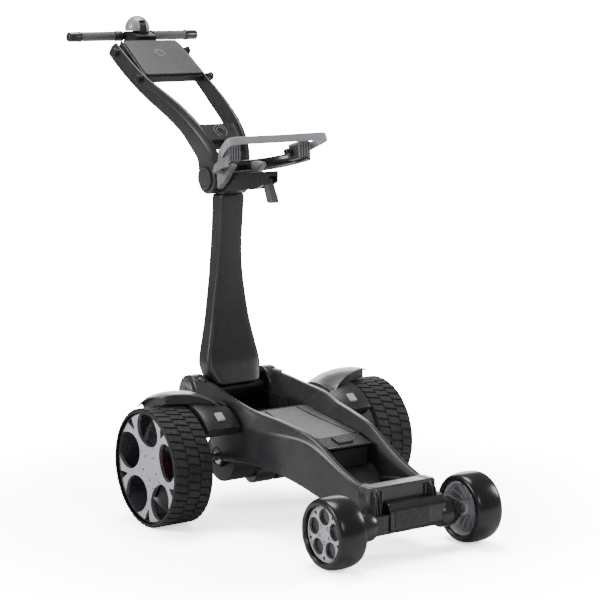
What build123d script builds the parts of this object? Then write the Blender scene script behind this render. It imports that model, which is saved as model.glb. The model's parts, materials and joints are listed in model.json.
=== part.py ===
"""Electric golf trolley: folding post and handle, two geared rear wheels, two free front wheels.

Millimetres, +Z up, +X to the right of a person who walks behind it, -Y forward.
Shapes are laid out from the rear axle line (y = 0) and the floor (z = 0). Saving moves
them along Y, so that the origin is the middle of the whole object's footprint.
Rotations about +X are positive when the top of a piece tips forward.
"""

import os
from math import atan, cos, degrees, hypot, pi, radians, sin

from build123d import *

# ---------------------------------------------------------------- driving dimensions
OVERALL_WIDTH = 612.0
WHEELBASE = 480.0

REAR_TYRE_R = 125.0
REAR_TYRE_W = 92.0
REAR_RIM_R = 116.0
REAR_RIM_WALL = 6.0
REAR_FACE_RECESS = 6.0
REAR_HUB_R = 18.0
WINDOW_COUNT = 5

FRONT_TYRE_R = 72.0
FRONT_TYRE_W = 64.0
FRONT_TYRE_OUTER_X = 201.0
FRONT_FACE_RECESS = 8.0
FRONT_RIM_R = 55.0
FRONT_RIM_WALL = 5.0
FRONT_HUB_R = 16.0

REAR_SHAFT_R = 8.0
FRONT_AXLE_R = 5.0
FRONT_BEARING_R = 11.0
FRONT_BEARING_W = 7.0
RUNNING_GAP = 0.05

GEAR_MODULE = 1.25
GEAR_TEETH = 48
PINION_TEETH = 12
GEAR_W = 14.0
GEAR_BACKLASH = 0.3
GEARBOX_R = 54.0
GEARBOX_WALL = 4.0
GEARBOX_INNER_X = 58.0
GEARBOX_OUTER_X = 118.0
BEARING_R = 16.0
BEARING_W = 9.0
MOTOR_R = 30.0
MOTOR_LENGTH = 50.0
MOTOR_SHAFT_R = 3.0
MOTOR_ANGLE = 247.0

NECK_Y = 138.0
NECK_Z = 238.0
NECK_PIN_R = 8.0
EAR_R = 40.0
EAR_INNER_X = 76.0
EAR_OUTER_X = 112.0

HUB_Y = 155.0
HUB_Z = 702.0
HUB_PIN_R = 8.0
HUB_BARREL_R = 34.0
HUB_LUG_R = 35.0
HEAD_HALF_W = 30.7
LUG_OUTER_X = 48.0
HUB_CAP_R = 24.5

POST_WALL = 4.0
POST_TOP_Z = 668.0

CRADLE_R = 105.0
CRADLE_WALL = 8.0
CRADLE_H = 28.0
CRADLE_CENTRE_Y = 5.0
CRADLE_LOW_Z = 739.0
CRADLE_SLOPE = 0.25
LINER_T = 4.0
STRAP_HALF_W = 128.0
STRAP_T = 4.0
STRAP_H = 18.0
STRAP_FRONT_Y = -62.0
STRAP_FRONT_Z = 800.0
STRAP_SLOPE = 0.5

BAR_Y = 535.0
BAR_Z = 1000.0
BAR_R = 8.0
GRIP_R = 10.8
GRIP_CAP_R = 12.0
GRIP_INNER_X = 52.0
GRIP_CAP_X = 138.0
BAR_END_X = 171.3

LID_LOW = (353.0, 919.6)
LID_HIGH = (464.5, 991.6)
LID_LOW_HALF_W = 74.0
LID_HIGH_HALF_W = 67.0
LID_T = 5.0

DOME_R = 28.5
DOME_Y = 516.0
DOME_Z = 1018.0
DOME_FLOOR_Z = 1009.0
SPEED_WHEEL_R = 19.0
SPEED_WHEEL_W = 14.0
SPEED_WHEEL_Y = 504.0
SPEED_WHEEL_Z = 1014.0

STUD_R = 9.5
STUD_END_X = 100.0
STUD_LENGTH = 6.0

SHELL_T = 5.0
PART_GAP = 0.5

# ---------------------------------------------------------------- values worked out
REAR_OUTER_X = OVERALL_WIDTH / 2
REAR_INNER_X = REAR_OUTER_X - REAR_TYRE_W
REAR_FACE_X = REAR_OUTER_X - REAR_FACE_RECESS
AXLE_Z = REAR_TYRE_R
FRONT_Y = -WHEELBASE
FRONT_Z = FRONT_TYRE_R
FRONT_INNER_X = FRONT_TYRE_OUTER_X - FRONT_TYRE_W
FRONT_HUB_INNER_X = FRONT_INNER_X + 6
FRONT_FACE_X = FRONT_TYRE_OUTER_X - FRONT_FACE_RECESS
MIDDLE_Y = ((FRONT_Y - FRONT_TYRE_R) + (BAR_Y + GRIP_CAP_R)) / 2
GEAR_R = GEAR_MODULE * GEAR_TEETH / 2
PINION_R = GEAR_MODULE * PINION_TEETH / 2
MOTOR_Y = (GEAR_R + PINION_R) * cos(radians(MOTOR_ANGLE))
MOTOR_Z = AXLE_Z + (GEAR_R + PINION_R) * sin(radians(MOTOR_ANGLE))
CRADLE_TILT = degrees(atan(CRADLE_SLOPE))
STRAP_TILT = degrees(atan(STRAP_SLOPE))


# ---------------------------------------------------------------- shape helpers
def block(x, y, z):
    """A box between two corners, each given as its low and high value."""
    centre = Pos((x[0] + x[1]) / 2, (y[0] + y[1]) / 2, (z[0] + z[1]) / 2)
    return centre * Box(x[1] - x[0], y[1] - y[0], z[1] - z[0])


def rod(radius, x, y, z):
    """A round bar along X."""
    return Pos((x[0] + x[1]) / 2, y, z) * Rot(0, 90, 0) * Cylinder(radius, x[1] - x[0])


def tube(outer, inner, x, y, z):
    """A round sleeve along X."""
    return rod(outer, x, y, z) - rod(inner, (x[0] - 1, x[1] + 1), y, z)


def plate(outline, x):
    """A side outline of (y, z) points, as thick as the span x."""
    face = make_face(Polyline([(x[0], y, z) for y, z in outline], close=True))
    return extrude(face, amount=x[1] - x[0], dir=(1, 0, 0))


def turned(profile, y, z):
    """A profile of (x, radius) points turned about an axis along X."""
    face = make_face(Polyline([(x, y, z + r) for x, r in profile], close=True))
    return revolve(face, Axis((0, y, z), (1, 0, 0)), 360)


def mirrored(shape):
    """The same piece on the other side of the middle plane."""
    return mirror(shape, Plane.YZ)


def biggest(shape):
    """The largest solid of a shape, without offcuts."""
    return max(shape.solids(), key=lambda solid: solid.volume)


def around_axle(shape, angle, y, z):
    """A shape turned about an axis along X."""
    return shape.rotate(Axis((0, y, z), (1, 0, 0)), angle)


def save(node, *shapes):
    """Write one node's solids to its own STEP file, in the object's own frame."""
    solids = [solid for shape in shapes for solid in shape.solids()]
    moved = [solid.moved(Location((0, -MIDDLE_Y, 0))) for solid in solids]
    export_step(moved[0] if len(moved) == 1 else Compound(moved), f"parts/{node}.step")


def save_pair(node, shape):
    """Write a right-hand piece and its left-hand mirror as two nodes."""
    save(f"{node}_right", shape)
    save(f"{node}_left", mirrored(shape))


# ---------------------------------------------------------------- wheels
def windows(radius, size, angle, x, y, z):
    """Round openings in a ring about a wheel's axis."""
    cutters = []
    for index in range(WINDOW_COUNT):
        opening = rod(size, x, y, z + radius)
        cutters.append(around_axle(opening, angle + index * 360 / WINDOW_COUNT, y, z))
    return cutters


def rear_wheel():
    """Tyre, barrel with hub, spoked cover, drive shaft and release collar of one side."""
    edge = 2.5
    seat = REAR_RIM_R
    inner, outer = REAR_INNER_X, REAR_OUTER_X
    tyre = turned(
        [
            (inner, seat),
            (inner, REAR_TYRE_R - edge),
            (inner + edge, REAR_TYRE_R),
            (outer - edge, REAR_TYRE_R),
            (outer, REAR_TYRE_R - edge),
            (outer, seat),
        ],
        0,
        AXLE_Z,
    )
    barrel_r = REAR_RIM_R - REAR_RIM_WALL
    cover_t = 8.0
    back_x = REAR_FACE_X - cover_t
    web = (inner + 22, inner + 28)
    rim = turned(
        [
            (inner + 2, seat),
            (REAR_FACE_X, seat),
            (REAR_FACE_X, barrel_r),
            (web[1], barrel_r),
            (web[1], REAR_HUB_R),
            (back_x, REAR_HUB_R),
            (back_x, REAR_SHAFT_R),
            (inner + 2, REAR_SHAFT_R),
            (inner + 2, REAR_HUB_R + 8),
            (web[0], REAR_HUB_R + 8),
            (web[0], barrel_r),
            (inner + 2, barrel_r),
        ],
        0,
        AXLE_Z,
    )
    cover = rod(barrel_r, (back_x, REAR_FACE_X), 0, AXLE_Z)
    span = (back_x - 1, REAR_FACE_X + 1)
    cover -= windows(78, 34, 0, span, 0, AXLE_Z)
    cover -= windows(101, 6, 36, span, 0, AXLE_Z)
    shaft = rod(REAR_SHAFT_R, (GEARBOX_INNER_X + GEARBOX_WALL, back_x), 0, AXLE_Z)
    travel = 5.0
    collar_x = (web[1] + 10, back_x - travel - 2)
    collar = tube(REAR_HUB_R + 8, REAR_HUB_R + RUNNING_GAP, collar_x, 0, AXLE_Z)
    return tyre, rim, cover, shaft, collar


def front_wheel():
    """Tyre, rim and two ball bearings of one side."""
    half = FRONT_TYRE_W / 2
    centre_x = FRONT_TYRE_OUTER_X - half
    steps = 12
    crown = []
    for index in range(steps + 1):
        angle = pi * index / steps
        bulge = sin(angle) ** 0.45
        x = centre_x - half * cos(angle)
        crown.append((x, FRONT_RIM_R + 2 + (FRONT_TYRE_R - FRONT_RIM_R - 2) * bulge))
    tyre = turned([(centre_x - half, FRONT_RIM_R)] + crown + [(centre_x + half, FRONT_RIM_R)], FRONT_Y, FRONT_Z)
    bore_end = FRONT_FACE_X - 2.5
    rim = turned(
        [
            (FRONT_HUB_INNER_X, FRONT_RIM_R),
            (FRONT_FACE_X, FRONT_RIM_R),
            (FRONT_FACE_X, 0),
            (bore_end, 0),
            (bore_end, FRONT_BEARING_R),
            (FRONT_HUB_INNER_X, FRONT_BEARING_R),
            (FRONT_HUB_INNER_X, FRONT_HUB_R),
            (FRONT_FACE_X - 6, FRONT_HUB_R),
            (FRONT_FACE_X - 6, FRONT_RIM_R - FRONT_RIM_WALL),
            (FRONT_HUB_INNER_X, FRONT_RIM_R - FRONT_RIM_WALL),
        ],
        FRONT_Y,
        FRONT_Z,
    )
    span = (FRONT_FACE_X - 8, FRONT_FACE_X + 1)
    rim -= windows(36, 12.5, 0, span, FRONT_Y, FRONT_Z)
    bearings = []
    for start in (FRONT_HUB_INNER_X, bore_end - FRONT_BEARING_W):
        span = (start, start + FRONT_BEARING_W)
        bearings.append(tube(FRONT_BEARING_R, FRONT_AXLE_R + RUNNING_GAP, span, FRONT_Y, FRONT_Z))
    return tyre, rim, bearings


# ---------------------------------------------------------------- drive
def spur(teeth, x, y, z, first_tooth):
    """A spur gear along X, with its first tooth at an angle in the YZ plane."""
    pitch_r = GEAR_MODULE * teeth / 2
    root_r = pitch_r - 1.25 * GEAR_MODULE
    tip_r = pitch_r + 0.95 * GEAR_MODULE
    pitch_t = pi * GEAR_MODULE / 2 - GEAR_BACKLASH
    outline = []
    for index in range(teeth):
        middle = radians(first_tooth + 360 * index / teeth)
        for radius, thickness in ((root_r, pitch_t * 1.3), (tip_r, pitch_t * 0.5)):
            outline.append((radius, middle - thickness / 2 / radius))
        for radius, thickness in ((tip_r, pitch_t * 0.5), (root_r, pitch_t * 1.3)):
            outline.append((radius, middle + thickness / 2 / radius))
    points = [(y + r * cos(a), z + r * sin(a)) for r, a in outline]
    return plate(points, x)


def drive():
    """Gearbox, its lid, motor, shaft bearing, drive gear and motor pinion of one side."""
    lid_x = (GEARBOX_INNER_X - GEARBOX_WALL, GEARBOX_INNER_X)
    cavity_r = GEARBOX_R - GEARBOX_WALL
    floor_x = GEARBOX_OUTER_X - GEARBOX_WALL
    seat_x = floor_x + 3
    boss_x = seat_x + BEARING_W + 2
    housing = turned(
        [
            (GEARBOX_INNER_X, cavity_r),
            (GEARBOX_INNER_X, GEARBOX_R),
            (GEARBOX_OUTER_X, GEARBOX_R),
            (GEARBOX_OUTER_X, BEARING_R + 6),
            (boss_x, BEARING_R + 6),
            (boss_x, BEARING_R),
            (seat_x, BEARING_R),
            (seat_x, REAR_SHAFT_R + 1),
            (floor_x, REAR_SHAFT_R + 1),
            (floor_x, cavity_r),
        ],
        0,
        AXLE_Z,
    )
    bearing = tube(BEARING_R, REAR_SHAFT_R + RUNNING_GAP, (seat_x, seat_x + BEARING_W), 0, AXLE_Z)
    lid = rod(GEARBOX_R, lid_x, 0, AXLE_Z)
    lid -= rod(MOTOR_SHAFT_R + 2, (lid_x[0] - 1, lid_x[1] + 1), MOTOR_Y, MOTOR_Z)
    motor_x = (lid_x[0] - MOTOR_LENGTH, lid_x[0])
    motor = rod(MOTOR_R, motor_x, MOTOR_Y, MOTOR_Z)
    bore_x = (motor_x[1] - 20, motor_x[1] + 1)
    motor -= rod(MOTOR_SHAFT_R + RUNNING_GAP, bore_x, MOTOR_Y, MOTOR_Z)
    gear_x = (floor_x - 6 - GEAR_W, floor_x - 6)
    gear = spur(GEAR_TEETH, gear_x, 0, AXLE_Z, MOTOR_ANGLE)
    gear -= rod(REAR_SHAFT_R, (gear_x[0] - 1, gear_x[1] + 1), 0, AXLE_Z)
    pinion_x = (gear_x[0] - 2, gear_x[1] + 2)
    half_tooth = 180 / PINION_TEETH
    pinion = spur(PINION_TEETH, pinion_x, MOTOR_Y, MOTOR_Z, MOTOR_ANGLE + 180 + half_tooth)
    pinion += rod(MOTOR_SHAFT_R, (bore_x[0] + 1, pinion_x[0]), MOTOR_Y, MOTOR_Z)
    return housing, bearing, lid, motor, gear, pinion


# ---------------------------------------------------------------- chassis
# Each station: y, seam x, seam z, crest x, crest z, side x, side z, hem x, hem z, inner hem z
RAIL_STATIONS = [
    (130, 76, 222, 102, 271, 112, 240, 112, 215, 200),
    (80, 76, 228, 94, 272, 118, 217, 119, 197, 190),
    (40, 76, 230, 98, 267, 123, 205, 125, 178, 170),
    (5, 74, 229, 102, 260, 125, 200, 128, 114, 142),
    (-45, 71, 225, 108, 254, 125, 200, 128, 124, 142),
    (-80, 69, 219, 110, 247, 125, 202, 128, 129, 142),
    (-120, 68, 213, 101, 238, 124, 204, 128, 133, 142),
    (-160, 67, 209, 94, 235, 120, 206, 126, 133, 142),
    (-200, 66, 205, 88, 229, 113, 207, 122, 130, 142),
    (-245, 64, 199, 83, 222, 100, 206, 112, 122, 142),
    (-283, 63, 190, 77, 213, 90, 200, 96, 106, 136),
    (-329, 62, 165, 75, 190, 85, 178, 91, 93, 112),
    (-376, 62, 147, 74, 164, 82, 157, 88, 86, 104),
    (-425, 62, 136, 73, 147, 82, 134, 86, 80, 94),
    (-444, 62, 132, 73, 143, 81, 131, 84, 76, 92),
]
RAIL_END_Y = RAIL_STATIONS[-1][0]


def rail_section(y, seam_x, seam_z, crest_x, crest_z, side_x, side_z, hem_x, hem_z, inner_z):
    """The rail's open, upside-down channel at one place along Y."""
    t = SHELL_T
    crest = 6.0
    points = [
        (seam_x, inner_z),
        (seam_x, seam_z),
        (crest_x - crest, crest_z - 1),
        (crest_x + crest, crest_z - 2),
        (side_x, side_z),
        (hem_x, hem_z),
        (hem_x - t, hem_z),
        (side_x - t, side_z - t),
        (crest_x + crest - 2, crest_z - 2 - 1.5 * t),
        (crest_x - crest + 2, crest_z - 1 - 1.5 * t),
        (seam_x + t, seam_z - 0.6 * t),
        (seam_x + t, inner_z),
    ]
    return make_face(Polyline([(x, y, z) for x, z in points], close=True))


def rail():
    """One rail with its side panel and the hinge ear at its rear end."""
    shell = loft([rail_section(*station) for station in RAIL_STATIONS], ruled=True)
    ear = rod(EAR_R, (EAR_INNER_X, EAR_OUTER_X), NECK_Y, NECK_Z)
    shell += ear
    shell -= rod(NECK_PIN_R, (0, EAR_OUTER_X - 4), NECK_Y, NECK_Z)
    shell -= rod(GEARBOX_R, (GEARBOX_INNER_X - 10, GEARBOX_OUTER_X), 0, AXLE_Z)
    shell -= rod(BEARING_R + 8, (GEARBOX_OUTER_X - 1, GEARBOX_OUTER_X + 30), 0, AXLE_Z)
    return biggest(shell)


PAN_Z = 140.0
PAN_T = 4.0
DECK_Z = 188.0
DECK_Y = (-58.0, 172.0)
DECK_WALL_Z = 228.0


def underpan(rails):
    """The floor between the rails, with a raised deck over the motors, trimmed to the inner walls."""
    front_slope = [(-300, PAN_Z), (-345, 106), (RAIL_END_Y, 98)]
    top = [(DECK_Y[1], DECK_Z), (DECK_Y[0], DECK_Z), (DECK_Y[0], PAN_Z)] + front_slope
    low = [(y, z - PAN_T) for y, z in reversed(front_slope)]
    low += [(DECK_Y[0] + PAN_T, PAN_Z - PAN_T), (DECK_Y[0] + PAN_T, DECK_Z - PAN_T), (DECK_Y[1], DECK_Z - PAN_T)]
    pan = plate(top + low, (-78, 78))
    pan += block((-78, 78), (DECK_Y[1] - PAN_T, DECK_Y[1]), (DECK_Z - 1, DECK_WALL_Z))
    for one in rails:
        pan -= one
    return biggest(pan)


CROSS_HALF_W = 81.0
CROSS_Y = (-478.0, RAIL_END_Y)
CROSS_Z = (92.0, 144.0)


def crossmember():
    """Front cross box, open at the rear, with upright ribs on its front face."""
    box = block((-CROSS_HALF_W, CROSS_HALF_W), CROSS_Y, CROSS_Z)
    box -= block((-CROSS_HALF_W + 6, CROSS_HALF_W - 6), (CROSS_Y[0] + 6, CROSS_Y[1] + 1), (98, 138))
    top = [edge for edge in box.edges().filter_by(Axis.X) if abs(edge.center().Y - CROSS_Y[0]) < 1]
    box = chamfer(top, 4)
    for side in (-1, 1):
        for place in (54, 65, 76):
            x = side * place
            box += block((x - 1.5, x + 1.5), (CROSS_Y[0] - 4, CROSS_Y[0] + 1), (98, 136))
    return box


BRACKET_HALF_W = 131.0
BRACKET_BEAM_HALF_W = 95.0
BRACKET_BOSS_R = 20.0


def axle_bracket():
    """Cast beam under the crossmember with a round boss at each end for the front axle."""
    beam = block((-BRACKET_BEAM_HALF_W, BRACKET_BEAM_HALF_W), (-500, -462), (54, CROSS_Z[0]))
    beam -= block((-52, 40), (-501, -492), (58, 88))
    for side in (-1, 1):
        ends = sorted((side * (BRACKET_BEAM_HALF_W - 1), side * BRACKET_HALF_W))
        beam += rod(BRACKET_BOSS_R, ends, FRONT_Y, FRONT_Z)
    return beam - rod(FRONT_AXLE_R, (-200, 200), FRONT_Y, FRONT_Z)


def bag_rest():
    """Two slanted pads on a base plate that carry the foot of the golf bag."""
    base = block((-54, 54), (-420, -352), (106.5, 111))
    rest = base
    for side in (-1, 1):
        span = sorted((side * 34, side * 52))
        rest += plate([(-418, 110), (-356, 110), (-356, 128), (-400, 136), (-418, 136)], span)
    return rest


BATTERY_Y = (-298.0, -120.0)
BATTERY_TOP_Z = 180.0


def battery():
    """Battery case with a lid line and a lifting handle slot."""
    case = block((-52, 52), BATTERY_Y, (PAN_Z, BATTERY_TOP_Z))
    case = fillet(case.edges().filter_by(Axis.Z), 6)
    return case - block((-30, 30), (-200, -180), (BATTERY_TOP_Z - 8, BATTERY_TOP_Z + 1))


def control_board():
    """Motor controller: circuit board with a finned cooling block."""
    board = block((-46, 46), (-112, -66), (PAN_Z, 144))
    for index in range(7):
        x = -30 + index * 10
        board += block((x - 2, x + 2), (-108, -72), (143.5, 158))
    return board


HATCH_TOP = [(-255, 199), (-200, 205), (-120, 214), (-58, 224)]
HATCH_T = 5.0
HATCH_GAP = 2.0
HATCH_HINGE_Y = -54.0
HATCH_HINGE_Z = 221.0
LATCH_HINGE_Y = -303.0
LATCH_HINGE_Z = 186.0
LATCH_HALF_W = 54.0


def hatch():
    """Battery hatch between the rails, with its hinge barrel at the rear."""
    low = [(y, z - HATCH_T) for y, z in reversed(HATCH_TOP)]
    lid = plate(HATCH_TOP + low, (-80, 80))
    front_w = RAIL_STATIONS[9][1] - HATCH_GAP
    rear_w = RAIL_STATIONS[5][1] - HATCH_GAP
    plan = [(-front_w, -255), (front_w, -255), (rear_w, -58), (-rear_w, -58)]
    keep = extrude(make_face(Polyline([(x, y, 0) for x, y in plan], close=True)), amount=400)
    lid &= keep
    knuckle = rod(3.5, (-60, 60), HATCH_HINGE_Y, HATCH_HINGE_Z)
    link = block((-60, 60), (-60, HATCH_HINGE_Y), (HATCH_HINGE_Z - 2, HATCH_HINGE_Z + 2))
    return biggest(lid + link + knuckle)


def hatch_latch():
    """Sloping latch flap in front of the hatch, hinged at its front edge."""
    flap = [(-257, 199), (LATCH_HINGE_Y, LATCH_HINGE_Z + 2), (LATCH_HINGE_Y, LATCH_HINGE_Z - 2), (-257, 194)]
    body = plate(flap, (-LATCH_HALF_W, LATCH_HALF_W))
    body += rod(3.0, (-LATCH_HALF_W, LATCH_HALF_W), LATCH_HINGE_Y, LATCH_HINGE_Z)
    grip = plate([(-290, 190.5), (-262, 197), (-262, 200.5), (-290, 194)], (-18, 18))
    return biggest(body + grip)


# Each point: x, radius about the rear axle
GUARD_PROFILE = [
    (114, 116),
    (130, 122),
    (150, 131),
    (168, 141),
    (190, 149),
    (215, 152.5),
    (240, 152.5),
    (262, 149),
    (278, 143),
    (288, 137),
]
GUARD_T = 3.0
GUARD_FRONT_ANGLE = 45.0
GUARD_REAR_ANGLE = 40.0


def mudguard(side_rail):
    """Crowned arc over the rear tyre's inner part, joined to the rail, with a slanted front edge."""
    inner = [(x, r - GUARD_T) for x, r in reversed(GUARD_PROFILE)]
    face = make_face(Polyline([(x, 0, AXLE_Z + r) for x, r in GUARD_PROFILE + inner], close=True))
    front = around_axle(face, GUARD_FRONT_ANGLE, 0, AXLE_Z)
    guard = revolve(front, Axis((0, 0, AXLE_Z), (1, 0, 0)), -GUARD_FRONT_ANGLE - GUARD_REAR_ANGLE)
    ahead = [(100, -200), (300, -200), (300, 8), (272, -12), (100, -66)]
    guard -= extrude(make_face(Polyline([(x, y, 0) for x, y in ahead], close=True)), amount=400)
    return biggest(guard - side_rail)


def chassis_screws():
    """Button screws under the pan that hold it, and those on the ear caps."""
    screws = []
    for side in (-1, 1):
        for y in (-90, -180, -270):
            screws.append(Pos(side * 57, y, PAN_Z - PAN_T - 1.5) * Cylinder(4, 3))
    return screws


# ---------------------------------------------------------------- post
# Each station: z, half width, front y, rear y
POST_STATIONS = [
    (253, 54, 96, 165),
    (292, 70, 118, 166),
    (309, 68, 122, 168),
    (352, 58, 127, 170),
    (394, 49, 132, 171),
    (437, 42.8, 134, 173),
    (481, 35.9, 133.6, 174),
    (524, 31.7, 132.5, 175),
    (568, 30.5, 129, 171),
    (612, 30.5, 124, 166),
    (POST_TOP_Z, 30.8, 118, 162),
]


def post_section(z, half_w, front_y, rear_y, inset):
    """The post's outline at one height, with broken corners."""
    w = half_w - inset
    f = front_y + inset
    r = rear_y - inset
    c = 7.0 - inset / 2
    points = [(-w, f + c), (-w + c, f), (w - c, f), (w, f + c), (w, r - c), (w - c, r), (-w + c, r), (-w, r - c)]
    return make_face(Polyline([(x, y, z) for x, y in points], close=True))


def post_shell():
    """The tall hollow post, flared at its foot."""
    outer = loft([post_section(*station, 0) for station in POST_STATIONS], ruled=True)
    bottom, top = POST_STATIONS[0], POST_STATIONS[-1]
    stretched = [(bottom[0] - 5, *bottom[1:])] + POST_STATIONS[1:-1] + [(top[0] + 5, *top[1:])]
    inner = loft([post_section(*station, POST_WALL) for station in stretched], ruled=True)
    return outer - inner


FOOT_BARREL_R = 24.0
FOOT_HALF_W = 72.0


def post_foot():
    """Hinge barrel with a tongue that goes up inside the post."""
    barrel = rod(FOOT_BARREL_R, (-FOOT_HALF_W, FOOT_HALF_W), NECK_Y, NECK_Z)
    barrel -= block((48, 80), (100, 200), (NECK_Z + 12, NECK_Z + 40))
    barrel -= block((-80, -48), (100, 200), (NECK_Z + 12, NECK_Z + 40))
    tongue = block((-46, 46), (132, 158), (NECK_Z, 320))
    foot = barrel + tongue
    return foot - rod(NECK_PIN_R + RUNNING_GAP, (-80, 80), NECK_Y, NECK_Z)


LEVER_Y = -12.0
LEVER_Z = 706.0
LEVER_PIN_R = 3.0
LEVER_HALF_W = 8.0


def post_head():
    """Head of the post: handle barrel, nose under the bag cradle and the lever's slot."""
    outline = [
        (162, POST_TOP_Z),
        (118, POST_TOP_Z),
        (108, 676),
        (75, 680),
        (10, 687),
        (-32, 705),
        (-32, 728),
        (9, 723),
        (113, 714),
        (124, 722),
        (155, 736),
    ]
    head = plate(outline, (-28, 28))
    head += rod(HUB_BARREL_R, (-HEAD_HALF_W, HEAD_HALF_W), HUB_Y, HUB_Z)
    head -= rod(HUB_PIN_R, (-50, 50), HUB_Y, HUB_Z)
    below, top = POST_STATIONS[-2:]
    inset = POST_WALL + PART_GAP
    plug_w = min(below[1], top[1]) - inset - 4
    plug_y = (max(below[2], top[2]) + inset, min(below[3], top[3]) - inset)
    head += block((-plug_w, plug_w), plug_y, (POST_TOP_Z - 28, POST_TOP_Z + 1))
    slot = LEVER_HALF_W + PART_GAP
    head -= block((-slot, slot), (-50, 34), (640, 717))
    head -= rod(LEVER_PIN_R + RUNNING_GAP, (-22, 22), LEVER_Y, LEVER_Z)
    for side in (-1, 1):
        beside = [(side * 13, -33), (side * 40, -33), (side * 40, 62), (side * 28, 62)]
        head -= extrude(make_face(Polyline([(x, y, 660) for x, y in beside], close=True)), amount=80, dir=(0, 0, 1))
    return biggest(head)


def release_lever():
    """Trigger under the head's nose, with its own pivot pin."""
    outline = [(-20, 706), (-42, 666), (-38, 661), (-24, 660), (-19, 664), (-3, 704)]
    lever = plate(outline, (-LEVER_HALF_W, LEVER_HALF_W))
    lever += rod(8, (-LEVER_HALF_W, LEVER_HALF_W), LEVER_Y, LEVER_Z)
    return lever + rod(LEVER_PIN_R, (-15, 15), LEVER_Y, LEVER_Z)


def tilted(shape, angle, y, z):
    """Tip a flat shape about a line along X, with its front edge upwards for a positive angle."""
    return Pos(0, y, z) * Rot(-angle, 0, 0) * shape


def horseshoe(outer_r, inner_r, arm, height):
    """A U of constant wall: half a ring at the rear and two straight arms forward."""
    ring = Cylinder(outer_r, height) - Cylinder(inner_r, height + 2)
    ring -= Pos(0, -outer_r, 0) * Box(2 * outer_r + 2, 2 * outer_r, height + 2)
    shape = ring
    wall = outer_r - inner_r
    for side in (-1, 1):
        shape += Pos(side * (inner_r + wall / 2), -arm / 2, 0) * Box(wall, arm, height)
    return shape


CRADLE_ARM = 26.0


def cradle(head):
    """Grey outer cradle that holds the top of the golf bag, with cheeks beside the head."""
    shape = horseshoe(CRADLE_R, CRADLE_R - CRADLE_WALL, CRADLE_ARM, CRADLE_H)
    shape = tilted(shape, CRADLE_TILT, CRADLE_CENTRE_Y, CRADLE_LOW_Z + CRADLE_H / 2)
    for side in (-1, 1):
        span = sorted((side * 28.3, side * 46))
        cheek = plate([(114, 716), (100, 738), (62, 735), (84, 700), (113, 680)], span)
        shape += cheek
    return biggest(shape - head)


def cradle_liner(head, outer_cradle):
    """Black soft lining inside the cradle and a ribbed block on each tip."""
    inner = CRADLE_R - CRADLE_WALL
    lining = horseshoe(inner, inner - LINER_T, CRADLE_ARM, CRADLE_H - 4)
    pieces = [lining]
    for side in (-1, 1):
        top = CRADLE_H / 2
        pieces.append(Pos(side * (CRADLE_R - 17), -7, top + 9) * Box(33, 36, 18))
    placed = [tilted(p, CRADLE_TILT, CRADLE_CENTRE_Y, CRADLE_LOW_Z + CRADLE_H / 2) for p in pieces]
    return [biggest(placed[0] - head - outer_cradle)] + placed[1:]


def bag_strap():
    """Front loop of the cradle, from tip to tip round the golf bag."""
    length = 72.0
    tip_w = CRADLE_R + STRAP_T
    outer = [(-tip_w, 0), (-STRAP_HALF_W, -length), (STRAP_HALF_W, -length), (tip_w, 0)]
    front = STRAP_T - length
    inner_w = STRAP_HALF_W - STRAP_T
    inner = [(STRAP_T - tip_w, 1), (-inner_w, front), (inner_w, front), (tip_w - STRAP_T, 1)]
    faces = []
    for outline, corner in ((outer, 9), (inner, 9 - STRAP_T)):
        face = make_face(Polyline(outline, close=True))
        faces.append(fillet(face.vertices().sort_by(Axis.Y)[:2], corner))
    loop = extrude(faces[0] - faces[1], STRAP_H / 2, both=True)
    rear_z = STRAP_FRONT_Z - length * sin(radians(STRAP_TILT))
    rear_y = STRAP_FRONT_Y + length * cos(radians(STRAP_TILT))
    return tilted(loop, STRAP_TILT, rear_y, rear_z)


# ---------------------------------------------------------------- handle
# Each station: lower (y, z), upper (y, z), inner x, outer x
ARM_STATIONS = [
    ((188, 700), (121, 712), 31.2, LUG_OUTER_X),
    ((181, 740), (112, 752), 33, 50),
    ((200, 768), (150, 798), 44, 62),
    ((225, 800), (185, 828), 50, 68),
    ((276, 831), (242, 863), 58, 75),
    ((331, 860), (304, 892), 68, 84),
    ((396, 898), (372, 925), 78, 91),
    ((469, 944), (446, 972), 78.5, 92),
    ((496, 962), (476, 988), 77, 90),
]


def arm():
    """One handle arm with its pivot lug."""
    sections = []
    for low, high, inner_x, outer_x in ARM_STATIONS:
        cut = 12.0 / hypot(high[0] - low[0], high[1] - low[1])
        side_end = (high[0] - cut * (high[0] - low[0]), high[1] - cut * (high[1] - low[1]))
        narrow_x = outer_x - 0.55 * (outer_x - inner_x)
        points = [(inner_x, *low), (outer_x, *low), (outer_x, *side_end), (narrow_x, *high), (inner_x, *high)]
        sections.append(make_face(Polyline(points, close=True)))
    shape = loft(sections, ruled=True)
    shape += rod(HUB_LUG_R, (31.2, LUG_OUTER_X), HUB_Y, HUB_Z)
    return shape - rod(HUB_PIN_R + RUNNING_GAP, (20, 60), HUB_Y, HUB_Z)


def handle_frame():
    """Both arms and the crossbar between them."""
    right = arm()
    bar = plate([(176, 759), (208, 799), (190, 817), (150, 783)], (-52, 52))
    return biggest(right + mirrored(right) + bar)


def beside_lid(along, above):
    """A (y, z) point on the console, along the lid from its lower edge and above its face."""
    run_y = LID_HIGH[0] - LID_LOW[0]
    run_z = LID_HIGH[1] - LID_LOW[1]
    length = hypot(run_y, run_z)
    unit_y, unit_z = run_y / length, run_z / length
    return (LID_LOW[0] + along * unit_y - above * unit_z, LID_LOW[1] + along * unit_z + above * unit_y)


LID_LENGTH = hypot(LID_HIGH[0] - LID_LOW[0], LID_HIGH[1] - LID_LOW[1])
LID_HINGE = beside_lid(LID_LENGTH + 3.5, -LID_T / 2)


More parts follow.
